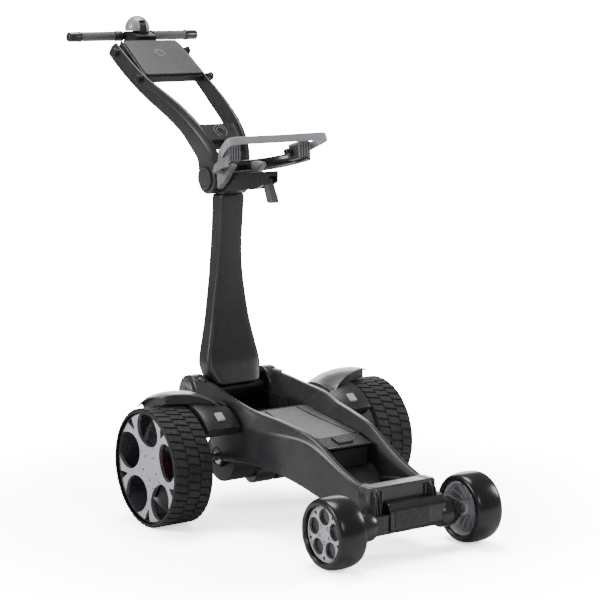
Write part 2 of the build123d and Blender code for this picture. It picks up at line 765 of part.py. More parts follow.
def console_lid():
    """Flat panel over the console tray, hinged at its upper edge."""
    side = [beside_lid(*p) for p in ((0, 0), (LID_LENGTH, 0), (LID_LENGTH, -LID_T), (0, -LID_T))]
    panel = plate(side, (-LID_LOW_HALF_W, LID_LOW_HALF_W))
    plan = [
        (-LID_LOW_HALF_W, LID_LOW[0] - 20),
        (LID_LOW_HALF_W, LID_LOW[0] - 20),
        (LID_HIGH_HALF_W, LID_HIGH[0] + 20),
        (-LID_HIGH_HALF_W, LID_HIGH[0] + 20),
    ]
    panel &= extrude(make_face(Polyline([(x, y, 0) for x, y in plan], close=True)), amount=1200)
    panel += rod(LID_T / 2, (-60, 60), *LID_HINGE)
    neck = [beside_lid(*p) for p in ((LID_LENGTH - 1, -1), (LID_LENGTH + 3.5, -1), (LID_LENGTH + 3.5, -4), (LID_LENGTH - 1, -4))]
    return biggest(panel + plate(neck, (-60, 60)))


def console_tray(frame):
    """Tray under the lid and the housing behind it that clamps the handlebar."""
    below = -LID_T - PART_GAP
    outline = [beside_lid(-5, below), beside_lid(LID_LENGTH + 10, below), beside_lid(LID_LENGTH + 10, 4)]
    outline += [(500, DOME_FLOOR_Z), (BAR_Y, DOME_FLOOR_Z + 2), (BAR_Y, BAR_Z - 14), (510, 966)]
    outline += [beside_lid(10, -26), beside_lid(-5, -20)]
    tray = plate(outline, (-72, 72))
    hollow = [beside_lid(4, below + 1), beside_lid(LID_LENGTH - 4, below + 1), beside_lid(LID_LENGTH - 4, -22), beside_lid(10, -21)]
    tray -= plate(hollow, (-58, 58))
    for side in (-1, 1):
        beside = sorted((side * 26, side * 80))
        tray -= block(beside, (BAR_Y - 65, BAR_Y + 10), (900, 1100))
    tray -= rod(BAR_R, (-80, 80), BAR_Y, BAR_Z)
    slot = SPEED_WHEEL_W / 2 + 1
    tray -= rod(SPEED_WHEEL_R + 1, (-slot, slot), SPEED_WHEEL_Y, SPEED_WHEEL_Z)
    return biggest(tray - frame)


def speed_housing():
    """Domed cover over the speed wheel, slotted at its front."""
    dome = Pos(0, DOME_Y, DOME_Z) * Sphere(DOME_R)
    dome &= block((-50, 50), (DOME_Y - 50, DOME_Y + 50), (DOME_FLOOR_Z + 2, DOME_Z + 60))
    slot = SPEED_WHEEL_W / 2 + 1
    dome -= rod(SPEED_WHEEL_R + 1, (-slot, slot), SPEED_WHEEL_Y, SPEED_WHEEL_Z)
    dome -= block((-slot, slot), (470, SPEED_WHEEL_Y), (1000, SPEED_WHEEL_Z + SPEED_WHEEL_R + 1))
    return biggest(dome - rod(3 + RUNNING_GAP, (-14, 14), SPEED_WHEEL_Y, SPEED_WHEEL_Z))


def speed_wheel():
    """Knurled thumb wheel on its own short axle."""
    wheel = rod(SPEED_WHEEL_R, (-SPEED_WHEEL_W / 2, SPEED_WHEEL_W / 2), SPEED_WHEEL_Y, SPEED_WHEEL_Z)
    groove = rod(1.2, (-10, 10), SPEED_WHEEL_Y, SPEED_WHEEL_Z + SPEED_WHEEL_R)
    for index in range(24):
        wheel -= around_axle(groove, index * 15, SPEED_WHEEL_Y, SPEED_WHEEL_Z)
    return wheel + rod(3, (-13, 13), SPEED_WHEEL_Y, SPEED_WHEEL_Z)


STUD_PLACES = [(455.0, 966.0), (357.0, 911.0)]


def studs(frame):
    """Four round accessory studs on the outside of the arms."""
    pieces = []
    for y, z in STUD_PLACES:
        stud = rod(STUD_R, (STUD_END_X - STUD_LENGTH, STUD_END_X), y, z)
        stud += rod(STUD_R - 2, (80, STUD_END_X - STUD_LENGTH), y, z) - frame
        outer = max(stud.solids(), key=lambda solid: solid.center().X)
        pieces += [outer, mirrored(outer)]
    return pieces


# ---------------------------------------------------------------- build
def build():
    os.makedirs("parts", exist_ok=True)

    tyre, rim, cover, shaft, collar = rear_wheel()
    save_pair("rear_tyre", tyre)
    save_pair("rear_rim", rim)
    save_pair("rear_wheel_cover", cover)
    save_pair("drive_shaft", shaft)
    save_pair("wheel_release_collar", collar)

    tyre, rim, bearings = front_wheel()
    save_pair("front_tyre", tyre)
    save_pair("front_rim", rim)
    save("front_bearings_right", *bearings)
    save("front_bearings_left", *[mirrored(one) for one in bearings])

    housing, bearing, gearbox_lid, motor, gear, pinion = drive()
    save_pair("gearbox_housing", housing)
    save_pair("drive_motor", motor)
    save_pair("drive_gear", gear)
    save_pair("motor_pinion", pinion)
    save("axle_bearings", bearing, mirrored(bearing))
    save("gearbox_lids", gearbox_lid, mirrored(gearbox_lid))

    right_rail = rail()
    left_rail = mirrored(right_rail)
    save("chassis_rail_right", right_rail)
    save("chassis_rail_left", left_rail)
    save("underpan", underpan([right_rail, left_rail]))
    save("front_crossmember", crossmember())
    save("front_axle_bracket", axle_bracket())
    save("front_axle", rod(FRONT_AXLE_R, (-FRONT_FACE_X + 3, FRONT_FACE_X - 3), FRONT_Y, FRONT_Z))
    save("lower_bag_rest", bag_rest())
    save("battery_pack", battery())
    save("motor_controller", control_board())
    save_pair("mudguard", mudguard(right_rail))
    cap = biggest(rod(EAR_R - 12, (EAR_OUTER_X, EAR_OUTER_X + 6), NECK_Y, NECK_Z) - right_rail)
    save("neck_hinge_caps", cap, mirrored(cap))
    pin_end = EAR_OUTER_X - 4
    save("neck_hinge_pin", rod(NECK_PIN_R, (-pin_end, pin_end), NECK_Y, NECK_Z))
    save("chassis_screws", *chassis_screws())
    save("battery_hatch", hatch())
    save("hatch_latch", hatch_latch())

    save("post_shell", post_shell())
    save("post_foot", post_foot())
    head = post_head()
    save("post_head", head)
    outer_cradle = cradle(head)
    save("bag_cradle", outer_cradle)
    save("cradle_liner", *cradle_liner(head, outer_cradle))
    save("bag_strap", bag_strap())
    pin_end = LUG_OUTER_X - PART_GAP
    save("handle_pivot_pin", rod(HUB_PIN_R, (-pin_end, pin_end), HUB_Y, HUB_Z))
    save("release_lever", release_lever())

    frame = handle_frame()
    save("handle_frame", frame)
    cap = biggest(rod(HUB_CAP_R, (LUG_OUTER_X, LUG_OUTER_X + 8), HUB_Y, HUB_Z) - frame)
    save("handle_pivot_caps", cap, mirrored(cap))
    save("console_tray", console_tray(frame))
    save("console_lid", console_lid())
    save("handlebar", rod(BAR_R, (-BAR_END_X + 4, BAR_END_X - 4), BAR_Y, BAR_Z))
    grip = tube(GRIP_R, BAR_R, (GRIP_INNER_X, GRIP_CAP_X), BAR_Y, BAR_Z)
    save("grips", grip, mirrored(grip))
    end = rod(GRIP_CAP_R, (GRIP_CAP_X, BAR_END_X), BAR_Y, BAR_Z)
    end -= rod(BAR_R, (GRIP_CAP_X - 1, BAR_END_X - 4), BAR_Y, BAR_Z)
    save("grip_caps", end, mirrored(end))
    save("speed_housing", speed_housing())
    save("speed_wheel", speed_wheel())
    save("accessory_studs", *studs(frame))


build()
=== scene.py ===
"""Looks of the electric golf trolley: its mouldings, wheels, cradle and handle around the frame."""

import json
from math import cos, hypot, pi, radians, sin

import bmesh
import bpy
from mathutils import Matrix, Vector


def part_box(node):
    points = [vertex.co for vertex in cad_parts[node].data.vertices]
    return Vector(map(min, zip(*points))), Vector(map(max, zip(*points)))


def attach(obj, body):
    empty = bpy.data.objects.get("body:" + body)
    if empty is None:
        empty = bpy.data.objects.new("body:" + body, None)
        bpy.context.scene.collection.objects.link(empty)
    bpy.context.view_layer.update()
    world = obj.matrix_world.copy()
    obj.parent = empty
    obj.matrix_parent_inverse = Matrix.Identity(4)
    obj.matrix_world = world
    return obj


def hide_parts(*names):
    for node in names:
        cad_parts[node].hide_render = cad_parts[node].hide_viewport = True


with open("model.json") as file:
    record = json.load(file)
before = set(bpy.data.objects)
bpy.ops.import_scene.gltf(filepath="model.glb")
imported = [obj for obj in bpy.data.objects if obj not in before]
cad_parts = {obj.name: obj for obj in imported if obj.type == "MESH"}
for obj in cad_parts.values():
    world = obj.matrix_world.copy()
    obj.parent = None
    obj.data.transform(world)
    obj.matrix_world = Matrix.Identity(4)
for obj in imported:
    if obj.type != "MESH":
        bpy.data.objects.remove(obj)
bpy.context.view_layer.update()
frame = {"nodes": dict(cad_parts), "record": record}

MM = 0.001
SIDES = {"right": 1, "left": -1}


def middle(node):
    """Centre of a frame node's box."""
    low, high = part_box(node)
    return (low + high) / 2


REAR_AXLE = middle("rear_tyre_right")
FRONT_AXLE = middle("front_tyre_right")
BAR = middle("handlebar")
PIVOT = middle("handle_pivot_pin")
NECK = middle("neck_hinge_pin")


def at(x, y, z):
    """A point given in millimetres from the middle plane, the rear axle line and the floor."""
    return Vector((x * MM, REAR_AXLE.y + y * MM, z * MM))


# ---------------------------------------------------------------- shared surface effects
def new_group(name, inputs, outputs):
    """An empty shader group with float or colour inputs and outputs."""
    group = bpy.data.node_groups.new(name, "ShaderNodeTree")
    for label, kind, value in inputs:
        socket = group.interface.new_socket(label, in_out="INPUT", socket_type=kind)
        socket.default_value = value
    for label, kind in outputs:
        group.interface.new_socket(label, in_out="OUTPUT", socket_type=kind)
    return group, group.nodes.new("NodeGroupInput"), group.nodes.new("NodeGroupOutput")


FLOAT = "NodeSocketFloat"
COLOR = "NodeSocketColor"


def math_node(tree, operation, first, second=None, clamp=False):
    node = tree.nodes.new("ShaderNodeMath")
    node.operation = operation
    node.use_clamp = clamp
    for index, value in enumerate((first, second)):
        if value is None:
            continue
        if isinstance(value, (int, float)):
            node.inputs[index].default_value = value
        else:
            tree.links.new(value, node.inputs[index])
    return node.outputs[0]


def noise_node(tree, vector, scale, detail=3.0, roughness=0.55):
    node = tree.nodes.new("ShaderNodeTexNoise")
    tree.links.new(vector, node.inputs["Vector"])
    if isinstance(scale, (int, float)):
        node.inputs["Scale"].default_value = scale
    else:
        tree.links.new(scale, node.inputs["Scale"])
    node.inputs["Detail"].default_value = detail
    node.inputs["Roughness"].default_value = roughness
    return node.outputs["Fac"]


def object_vector(tree):
    return tree.nodes.new("ShaderNodeTexCoord").outputs["Object"]


def mix_color(tree, factor, first, second, blend="MIX"):
    node = tree.nodes.new("ShaderNodeMix")
    node.data_type = "RGBA"
    node.blend_type = blend
    for socket, value in ((node.inputs[0], factor), (node.inputs[6], first), (node.inputs[7], second)):
        if isinstance(value, (int, float, tuple, list)):
            socket.default_value = value
        else:
            tree.links.new(value, socket)
    return node.outputs[2]


def spread(tree, value, low, high, to_low=0.0, to_high=1.0):
    """Map a value's range to another, clamped."""
    node = tree.nodes.new("ShaderNodeMapRange")
    tree.links.new(value, node.inputs["Value"])
    node.inputs["From Min"].default_value = low
    node.inputs["From Max"].default_value = high
    node.inputs["To Min"].default_value = to_low
    node.inputs["To Max"].default_value = to_high
    return node.outputs[0]


def grain_group():
    """Fine moulded or cast grain as a height, with a slower unevenness under it."""
    group, source, sink = new_group(
        "Moulded grain",
        [("Grain size", FLOAT, 900.0), ("Wave size", FLOAT, 40.0)],
        [("Height", FLOAT), ("Mask", FLOAT)],
    )
    vector = object_vector(group)
    fine = noise_node(group, vector, source.outputs["Grain size"], 2.0, 0.6)
    slow = noise_node(group, vector, source.outputs["Wave size"], 2.0, 0.5)
    height = math_node(group, "ADD", math_node(group, "MULTIPLY", fine, 0.35), slow)
    group.links.new(height, sink.inputs["Height"])
    group.links.new(slow, sink.inputs["Mask"])
    return group


def tone_group():
    """Colour that drifts a little, with dust settled on faces that look up."""
    group, source, sink = new_group(
        "Handled tone",
        [
            ("Colour", COLOR, (0.1, 0.1, 0.1, 1)),
            ("Light colour", COLOR, (0.2, 0.2, 0.2, 1)),
            ("Drift size", FLOAT, 14.0),
            ("Dust", FLOAT, 0.1),
            ("Roughness", FLOAT, 0.4),
            ("Roughness drift", FLOAT, 0.12),
        ],
        [("Colour", COLOR), ("Roughness", FLOAT)],
    )
    vector = object_vector(group)
    drift = noise_node(group, vector, source.outputs["Drift size"], 4.0, 0.62)
    share = spread(group, drift, 0.3, 0.75)
    base = mix_color(group, share, source.outputs["Colour"], source.outputs["Light colour"])
    normal = group.nodes.new("ShaderNodeNewGeometry").outputs["Normal"]
    split = group.nodes.new("ShaderNodeSeparateXYZ")
    group.links.new(normal, split.inputs[0])
    upward = spread(group, split.outputs["Z"], 0.35, 1.0)
    specks = spread(group, noise_node(group, vector, 120.0, 6.0, 0.7), 0.45, 0.85)
    settled = math_node(group, "MULTIPLY", upward, specks)
    dust = math_node(group, "MULTIPLY", settled, source.outputs["Dust"])
    dust = math_node(group, "MULTIPLY", dust, 0.5)
    color = mix_color(group, dust, base, (0.32, 0.31, 0.29, 1.0))
    swing = math_node(group, "SUBTRACT", drift, 0.5)
    change = math_node(group, "MULTIPLY", swing, source.outputs["Roughness drift"])
    rough = math_node(group, "ADD", source.outputs["Roughness"], change)
    rough = math_node(group, "ADD", rough, math_node(group, "MULTIPLY", dust, 0.4), clamp=True)
    group.links.new(color, sink.inputs["Colour"])
    group.links.new(rough, sink.inputs["Roughness"])
    return group


def edge_wear_and_highlight_group():
    """Rubbed wear on corners and a painted highlight on the same edges, from how sharply the surface turns.
    """
    group, source, sink = new_group("Rubbed and highlit edges", [("Reach", FLOAT, 0.5)], [("Mask", FLOAT)])
    point = group.nodes.new("ShaderNodeNewGeometry").outputs["Pointiness"]
    turn = spread(group, point, 0.52, 0.62)
    broken = spread(group, noise_node(group, object_vector(group), 90.0, 5.0, 0.65), 0.42, 0.62)
    rubbed_and_highlit = math_node(group, "MULTIPLY", turn, broken)
    mask = math_node(group, "MULTIPLY", rubbed_and_highlit, source.outputs["Reach"], clamp=True)
    group.links.new(mask, sink.inputs["Mask"])
    return group


GRAIN = grain_group()
TONE = tone_group()
EDGE_WEAR_AND_HIGHLIGHT = edge_wear_and_highlight_group()


def use_group(tree, group, **values):
    node = tree.nodes.new("ShaderNodeGroup")
    node.node_tree = group
    for label, value in values.items():
        node.inputs[label.replace("_", " ")].default_value = value
    return node


def finish(
    name, color, light, rough, grain=900.0, bump=0.15, drift=14.0, dust=0.1, edge_wear_and_highlight=0.3,
    worn_and_highlit_color=None, metallic=0.0, coat=0.0, coat_rough=0.1, specular=0.5, rough_drift=0.12, wave=40.0, sheen=0.0,
):
    """A moulded, cast, painted or rubber finish made of the shared effects."""
    material = bpy.data.materials.new(name)
    material.use_nodes = True
    tree = material.node_tree
    shader = tree.nodes["Principled BSDF"]
    tone = use_group(tree, TONE, Drift_size=drift, Dust=dust, Roughness=rough, Roughness_drift=rough_drift)
    tone.inputs["Colour"].default_value = (*color, 1)
    tone.inputs["Light colour"].default_value = (*light, 1)
    # Sharp edges turn lighter: partly rubbed wear, partly a painted highlight along the edges.
    edges = use_group(tree, EDGE_WEAR_AND_HIGHLIGHT, Reach=edge_wear_and_highlight)
    rubbed_and_highlit = worn_and_highlit_color or tuple(min(1.0, c * 1.9 + 0.02) for c in light)
    color_out = mix_color(tree, edges.outputs["Mask"], tone.outputs["Colour"], (*rubbed_and_highlit, 1))
    tree.links.new(color_out, shader.inputs["Base Color"])
    tree.links.new(tone.outputs["Roughness"], shader.inputs["Roughness"])
    relief = use_group(tree, GRAIN, Grain_size=grain, Wave_size=wave)
    bump_node = tree.nodes.new("ShaderNodeBump")
    bump_node.inputs["Strength"].default_value = bump
    bump_node.inputs["Distance"].default_value = 0.0006
    tree.links.new(relief.outputs["Height"], bump_node.inputs["Height"])
    tree.links.new(bump_node.outputs["Normal"], shader.inputs["Normal"])
    for label, value in (
        ("Metallic", metallic), ("Coat Weight", coat), ("Coat Roughness", coat_rough),
        ("Specular IOR Level", specular), ("Sheen Weight", sheen),
    ):
        shader.inputs[label].default_value = value
    return material


TREAD = finish(
    "Tread rubber", (0.012, 0.012, 0.013), (0.026, 0.026, 0.027), 0.62,
    grain=500, bump=0.5, dust=0.22, edge_wear_and_highlight=0.45, specular=0.35,
)
FRONT_RUBBER = finish(
    "Polished rubber", (0.006, 0.006, 0.007), (0.011, 0.011, 0.012), 0.24,
    grain=600, bump=0.06, dust=0.05, edge_wear_and_highlight=0.1, rough_drift=0.1,
)
# The pale edge colour of the silver is mostly a painted highlight on the bevels.
SILVER = finish(
    "Silver paint", (0.40, 0.415, 0.445), (0.52, 0.535, 0.57), 0.27,
    grain=1800, bump=0.05, dust=0.05, edge_wear_and_highlight=0.35, metallic=0.75, coat=0.25, worn_and_highlit_color=(0.72, 0.74, 0.78),
)
DISH = finish(
    "Dish silver", (0.52, 0.53, 0.56), (0.64, 0.65, 0.68), 0.32,
    grain=1500, bump=0.05, dust=0.05, edge_wear_and_highlight=0.3, metallic=0.1, coat=0.2,
)
BARREL = finish(
    "Barrel grey", (0.030, 0.031, 0.036), (0.048, 0.050, 0.056), 0.26,
    grain=800, bump=0.08, dust=0.08, edge_wear_and_highlight=0.3,
)
RED = finish("Collar red", (0.20, 0.012, 0.03), (0.27, 0.02, 0.04), 0.35, grain=700, bump=0.1)
STEEL = finish(
    "Ground steel", (0.42, 0.42, 0.43), (0.52, 0.52, 0.53), 0.28,
    grain=1400, bump=0.1, metallic=1.0, dust=0.0,
)
GEAR = finish(
    "Oiled steel", (0.26, 0.26, 0.27), (0.34, 0.34, 0.35), 0.3,
    grain=900, bump=0.12, metallic=1.0, dust=0.0,
)
GRAPHITE = finish(
    "Graphite moulding", (0.020, 0.0205, 0.022), (0.038, 0.039, 0.042), 0.30,
    grain=1100, bump=0.22, drift=22, dust=0.16, edge_wear_and_highlight=0.4, coat=0.2, coat_rough=0.25,
    worn_and_highlit_color=(0.16, 0.16, 0.17),
)
DECK = finish(
    "Deck moulding", (0.014, 0.014, 0.0155), (0.027, 0.0275, 0.030), 0.36,
    grain=1100, bump=0.08, drift=18, dust=0.16, edge_wear_and_highlight=0.3, coat=0.08, coat_rough=0.3, specular=0.2,
    worn_and_highlit_color=(0.2, 0.2, 0.21),
)
GUARD = finish(
    "Guard grey", (0.070, 0.070, 0.074), (0.105, 0.105, 0.110), 0.30,
    grain=1000, bump=0.15, dust=0.12, coat=0.3,
)
PAD = finish(
    "Pale pad", (0.34, 0.34, 0.35), (0.46, 0.46, 0.47), 0.4,
    grain=900, bump=0.12, dust=0.1,
)
BLACK = finish(
    "Black moulding", (0.011, 0.011, 0.012), (0.020, 0.020, 0.021), 0.40,
    grain=900, bump=0.2, dust=0.12, edge_wear_and_highlight=0.35, worn_and_highlit_color=(0.09, 0.09, 0.095),
)
GLOSS_BLACK = finish(
    "Gloss black moulding", (0.010, 0.010, 0.011), (0.017, 0.017, 0.018), 0.27,
    grain=900, bump=0.012, dust=0.08, coat=0.3,
)
CASE = finish(
    "Sparked case", (0.012, 0.012, 0.013), (0.020, 0.020, 0.021), 0.55,
    grain=420, bump=0.6, dust=0.1,
)
BOARD = finish(
    "Solder mask", (0.012, 0.06, 0.03), (0.02, 0.09, 0.045), 0.3,
    grain=900, bump=0.05, coat=0.4,
)
POST = finish(
    "Charcoal paint", (0.014, 0.014, 0.015), (0.023, 0.023, 0.0245), 0.36,
    grain=1300, bump=0.3, drift=30, dust=0.05, edge_wear_and_highlight=0.35, coat=0.1, coat_rough=0.3,
    worn_and_highlit_color=(0.14, 0.14, 0.145),
)
ARM = finish(
    "Handle moulding", (0.019, 0.019, 0.020), (0.030, 0.030, 0.032), 0.32,
    grain=1200, bump=0.2, drift=26, dust=0.1, edge_wear_and_highlight=0.45, worn_and_highlit_color=(0.17, 0.17, 0.175),
)
LID = finish(
    "Lid panel", (0.040, 0.040, 0.042), (0.056, 0.056, 0.058), 0.44,
    grain=1500, bump=0.35, drift=16, dust=0.14, edge_wear_and_highlight=0.3,
)
CAP = finish(
    "Hub cap grey", (0.035, 0.035, 0.037), (0.05, 0.05, 0.053), 0.36,
    grain=900, bump=0.12, edge_wear_and_highlight=0.4,
)
CRADLE = finish(
    "Cradle grey", (0.17, 0.17, 0.178), (0.22, 0.22, 0.228), 0.42,
    grain=1000, bump=0.16, dust=0.1, edge_wear_and_highlight=0.25,
)
STRAP = finish(
    "Strap rubber", (0.27, 0.27, 0.30), (0.33, 0.33, 0.36), 0.48,
    grain=700, bump=0.25, dust=0.1, edge_wear_and_highlight=0.2, sheen=0.1,
)
GRIP = finish(
    "Soft grip", (0.095, 0.095, 0.102), (0.130, 0.130, 0.138), 0.52,
    grain=500, bump=0.5, dust=0.1, edge_wear_and_highlight=0.2, sheen=0.1,
)
DOME = finish(
    "Dome silver", (0.30, 0.30, 0.31), (0.38, 0.38, 0.39), 0.34,
    grain=1400, bump=0.12, dust=0.12, metallic=0.2,
)
KNOB = finish(
    "Knob rubber", (0.008, 0.008, 0.009), (0.014, 0.014, 0.015), 0.45,
    grain=600, bump=0.3,
)
EMBLEM = finish(
    "Emblem grey", (0.24, 0.24, 0.25), (0.31, 0.31, 0.32), 0.3,
    grain=1500, bump=0.05, metallic=0.5,
)


# ---------------------------------------------------------------- mesh helpers
def piece(name, bm, material, body, stands_for=(), sharp=38.0, bevel=()):
    """Turn a finished bmesh into a piece that rides on a body, bevelled if a bevel is given."""
    bmesh.ops.remove_doubles(bm, verts=bm.verts, dist=2e-6)
    bmesh.ops.recalc_face_normals(bm, faces=bm.faces)
    for face in bm.faces:
        face.smooth = True
    for edge in bm.edges:
        if len(edge.link_faces) == 2:
            edge.smooth = edge.calc_face_angle(0.0) < radians(sharp)
    mesh = bpy.data.meshes.new(name)
    bm.to_mesh(mesh)
    bm.free()
    mesh.materials.append(material)
    shape = bpy.data.objects.new(name, mesh)
    bpy.context.scene.collection.objects.link(shape)
    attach(shape, body)
    if stands_for:
        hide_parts(*stands_for)
    if bevel:
        rounded(shape, *bevel)
    return shape


def rounded(shape, width, segments, angle=32.0):
    """A live bevel on the sharp edges, with even shading."""
    bevel = shape.modifiers.new("Rounding", "BEVEL")
    bevel.width = width * MM
    bevel.segments = segments
    bevel.limit_method = "ANGLE"
    bevel.angle_limit = radians(angle)
    bevel.harden_normals = True


def smoothed(shape, levels=2):
    """A live subdivision, the same in every use."""
    surface = shape.modifiers.new("Smoothing", "SUBSURF")
    surface.levels = levels
    surface.render_levels = levels
    for edge in shape.data.edges:
        edge.use_edge_sharp = False


def ring(bm, points):
    """A closed loop of edges."""
    verts = [bm.verts.new(point) for point in points]
    return [bm.edges.new((verts[i - 1], verts[i])) for i in range(len(verts))]


def loft(bm, sections):
    """Skin a row of loops, and cap its ends."""
    loops = [ring(bm, points) for points in sections]
    for first, second in zip(loops, loops[1:]):
        bmesh.ops.bridge_loops(bm, edges=first + second)
    for end in (loops[0], loops[-1]):
        bmesh.ops.contextual_create(bm, geom=end)


def eased(points, reach):
    """The same outline with each corner cut back by up to a reach."""
    result = []
    count = len(points)
    for index, corner in enumerate(points):
        for neighbour in (points[index - 1], points[(index + 1) % count]):
            step = neighbour - corner
            length = step.length
            share = min(reach * MM, length * 0.33) / max(length, 1e-9)
            result.append(corner + step * share)
    return result


def lathe(profile, centre, steps, mirror):
    """A new mesh: (x, radius) points, in millimetres, spun about an axis along X."""
    bm = bmesh.new()
    verts = [bm.verts.new(Vector((mirror * x * MM, centre.y, centre.z + r * MM))) for x, r in profile]
    edges = [bm.edges.new(pair) for pair in zip(verts, verts[1:])]
    bmesh.ops.spin(
        bm, geom=verts + edges, cent=Vector((0, centre.y, centre.z)), axis=Vector((1, 0, 0)),
        angle=2 * pi, steps=steps, use_merge=True,
    )
    bmesh.ops.remove_doubles(bm, verts=bm.verts, dist=1e-6)
    return bm


def box_between(bm, low, high, turn=None):
    """A block between two corners, optionally turned about its middle."""
    made = bmesh.ops.create_cube(bm, size=1.0)["verts"]
    size = high - low
    bmesh.ops.scale(bm, vec=size, verts=made)
    if turn:
        bmesh.ops.rotate(bm, cent=Vector(), matrix=turn, verts=made)
    bmesh.ops.translate(bm, vec=(low + high) / 2, verts=made)
    return made


def pushed_out(bm, faces, distance):
    """Give faces a thickness along X, in millimetres."""
    made = bmesh.ops.extrude_face_region(bm, geom=faces)["geom"]
    ends = [item for item in made if isinstance(item, bmesh.types.BMVert)]
    bmesh.ops.translate(bm, vec=Vector((distance * MM, 0, 0)), verts=ends)


def prism(bm, outline, x_low, x_high):
    """A side outline of (y, z) millimetre points, as wide as a span of x."""
    edges = ring(bm, [at(x_low, y, z) for y, z in outline])
    pushed_out(bm, bmesh.ops.contextual_create(bm, geom=edges)["faces"], x_high - x_low)


def rod_x(bm, radius, x_low, x_high, centre, segments=48):
    """A round bar along X."""
    turn = Matrix.Rotation(radians(90), 4, "Y")
    place = Matrix.Translation(Vector(((x_low + x_high) / 2 * MM, centre.y, centre.z)))
    return bmesh.ops.create_cone(
        bm, cap_ends=True, segments=segments, radius1=radius * MM, radius2=radius * MM,
        depth=(x_high - x_low) * MM, matrix=place @ turn,
    )["verts"]


def once(sign, node):
    """A node that both sides stand for is named by the right side's piece only."""
    return [node] if sign > 0 else ()


def sweep(bm, centre, degrees, steps):
    """Turn everything in the mesh about an axis along X, as a solid or a sheet."""
    bmesh.ops.spin(
        bm, geom=list(bm.verts) + list(bm.edges) + list(bm.faces), cent=centre, axis=Vector((1, 0, 0)),
        angle=radians(degrees), steps=steps,
    )


def turned_into_place(bm, verts, angle, centre):
    """Turn verts about the X axis and move them onto a wheel's centre."""
    bmesh.ops.rotate(bm, cent=Vector(), matrix=Matrix.Rotation(angle, 3, "X"), verts=verts)
    bmesh.ops.translate(bm, vec=Vector((0, centre.y, centre.z)), verts=verts)


def soften(node, material, width):
    """A merged copy of a frame node with its sharp edges rounded, in its place."""
    source = frame["nodes"][node]
    bm = bmesh.new()
    bm.from_mesh(source.data)
    bmesh.ops.remove_doubles(bm, verts=bm.verts, dist=2e-5)
    bmesh.ops.dissolve_limit(bm, angle_limit=radians(1.0), verts=bm.verts, edges=bm.edges)
    bodies = frame["record"]["behaviour"]["bodies"]
    body = next(key for key, members in bodies.items() if node in members)
    piece(node + "_skin", bm, material, body, [node], bevel=(width, 2))


def cut(shape, cutters):
    """Subtract plain cutter meshes from a piece and keep the result."""
    for bm in cutters:
        mesh = bpy.data.meshes.new("cutter")
        bmesh.ops.recalc_face_normals(bm, faces=bm.faces)
        bm.to_mesh(mesh)
        bm.free()
        tool = bpy.data.objects.new("cutter", mesh)
        bpy.context.scene.collection.objects.link(tool)
        boolean = shape.modifiers.new("Opening", "BOOLEAN")
        boolean.operation = "DIFFERENCE"
        boolean.solver = "EXACT"
        boolean.object = tool
        bpy.context.view_layer.update()
        result = bpy.data.meshes.new_from_object(shape.evaluated_get(bpy.context.evaluated_depsgraph_get()))
        shape.modifiers.clear()
        shape.data = result
        bpy.data.objects.remove(tool)
    for edge in shape.data.edges:
        edge.use_edge_sharp = False


CENTRE_R = 0.01  # where a turned profile closes on its own axis
SPOKES = 5


# ---------------------------------------------------------------- rear wheels
REAR_INNER, REAR_OUTER, REAR_R, REAR_SEAT = 214.0, 306.0, 125.0, 116.0
TREAD_DEPTH = 3.0
TREAD_STEPS = 176
PIN_CIRCLE_R = 44.0


def rear_tyre(side, sign):
    """Wide treaded tyre: three staggered rows of lateral blocks."""
    floor_r = REAR_R - TREAD_DEPTH
    rows = [(217, 244.5), (246, 274), (275.5, 303)]
    columns = [x for row in rows for x in row]
    profile = [(REAR_INNER, REAR_SEAT), (REAR_INNER, floor_r - 2), (REAR_INNER + 1.2, floor_r)]
    profile += [(x, floor_r) for x in columns]
    profile += [(REAR_OUTER - 1.2, floor_r), (REAR_OUTER, floor_r - 2), (REAR_OUTER, REAR_SEAT)]
    bm = lathe(profile, REAR_AXLE, TREAD_STEPS, sign)
    blocks = []
    for face in bm.faces:
        middle_point = face.calc_center_median()
        x = abs(middle_point.x) / MM
        row = next((i for i, (low, high) in enumerate(rows) if low < x < high), None)
        if row is None:
            continue
        spoke = Vector((middle_point.y - REAR_AXLE.y, middle_point.z - REAR_AXLE.z))
        angle = spoke.angle_signed(Vector((1, 0)))
        step = int((angle + pi) / (2 * pi) * TREAD_STEPS)
        if (step + 2 * row) % 4:
            blocks.append(face)
    raised = bmesh.ops.extrude_face_region(bm, geom=blocks)["geom"]
    bmesh.ops.delete(bm, geom=blocks, context="FACES_ONLY")
    for vert in (item for item in raised if isinstance(item, bmesh.types.BMVert)):
        radial = Vector((0, vert.co.y - REAR_AXLE.y, vert.co.z - REAR_AXLE.z)).normalized()
        vert.co += radial * (TREAD_DEPTH - 0.1) * MM
    for vert in bm.verts:
        x = abs(vert.co.x) / MM
        lean = radians(3.2) * (x - 260) / 30 * sign
        offset = vert.co - REAR_AXLE
        turned = Matrix.Rotation(lean, 3, "X") @ Vector((0, offset.y, offset.z))
        vert.co = Vector((vert.co.x, REAR_AXLE.y + turned.y, REAR_AXLE.z + turned.z))
    piece(
        f"rear_tyre_{side}_treaded", bm, TREAD, f"rear_wheel_{side}",
        [f"rear_tyre_{side}"], sharp=30, bevel=(0.5, 1, 40),
    )


def oval_cutter(centre, radius, across, along, angle, x_low, x_high, sign, segments=40, pinch=0.0):
    """An oval prism through a wheel's face, at a radius and an angle about its axle."""
    bm = bmesh.new()
    verts = bmesh.ops.create_circle(bm, cap_ends=True, segments=segments, radius=1.0)["verts"]
    for vert in verts:
        u, v = vert.co.x, vert.co.y
        vert.co = Vector((0, u * across * MM * (1 + pinch * v), v * along * MM))
    pushed_out(bm, list(bm.faces), (x_high - x_low) * sign)
    bmesh.ops.translate(bm, vec=Vector((x_low * MM * sign, 0, radius * MM)), verts=bm.verts)
    turned_into_place(bm, bm.verts, radians(angle), centre)
    return bm


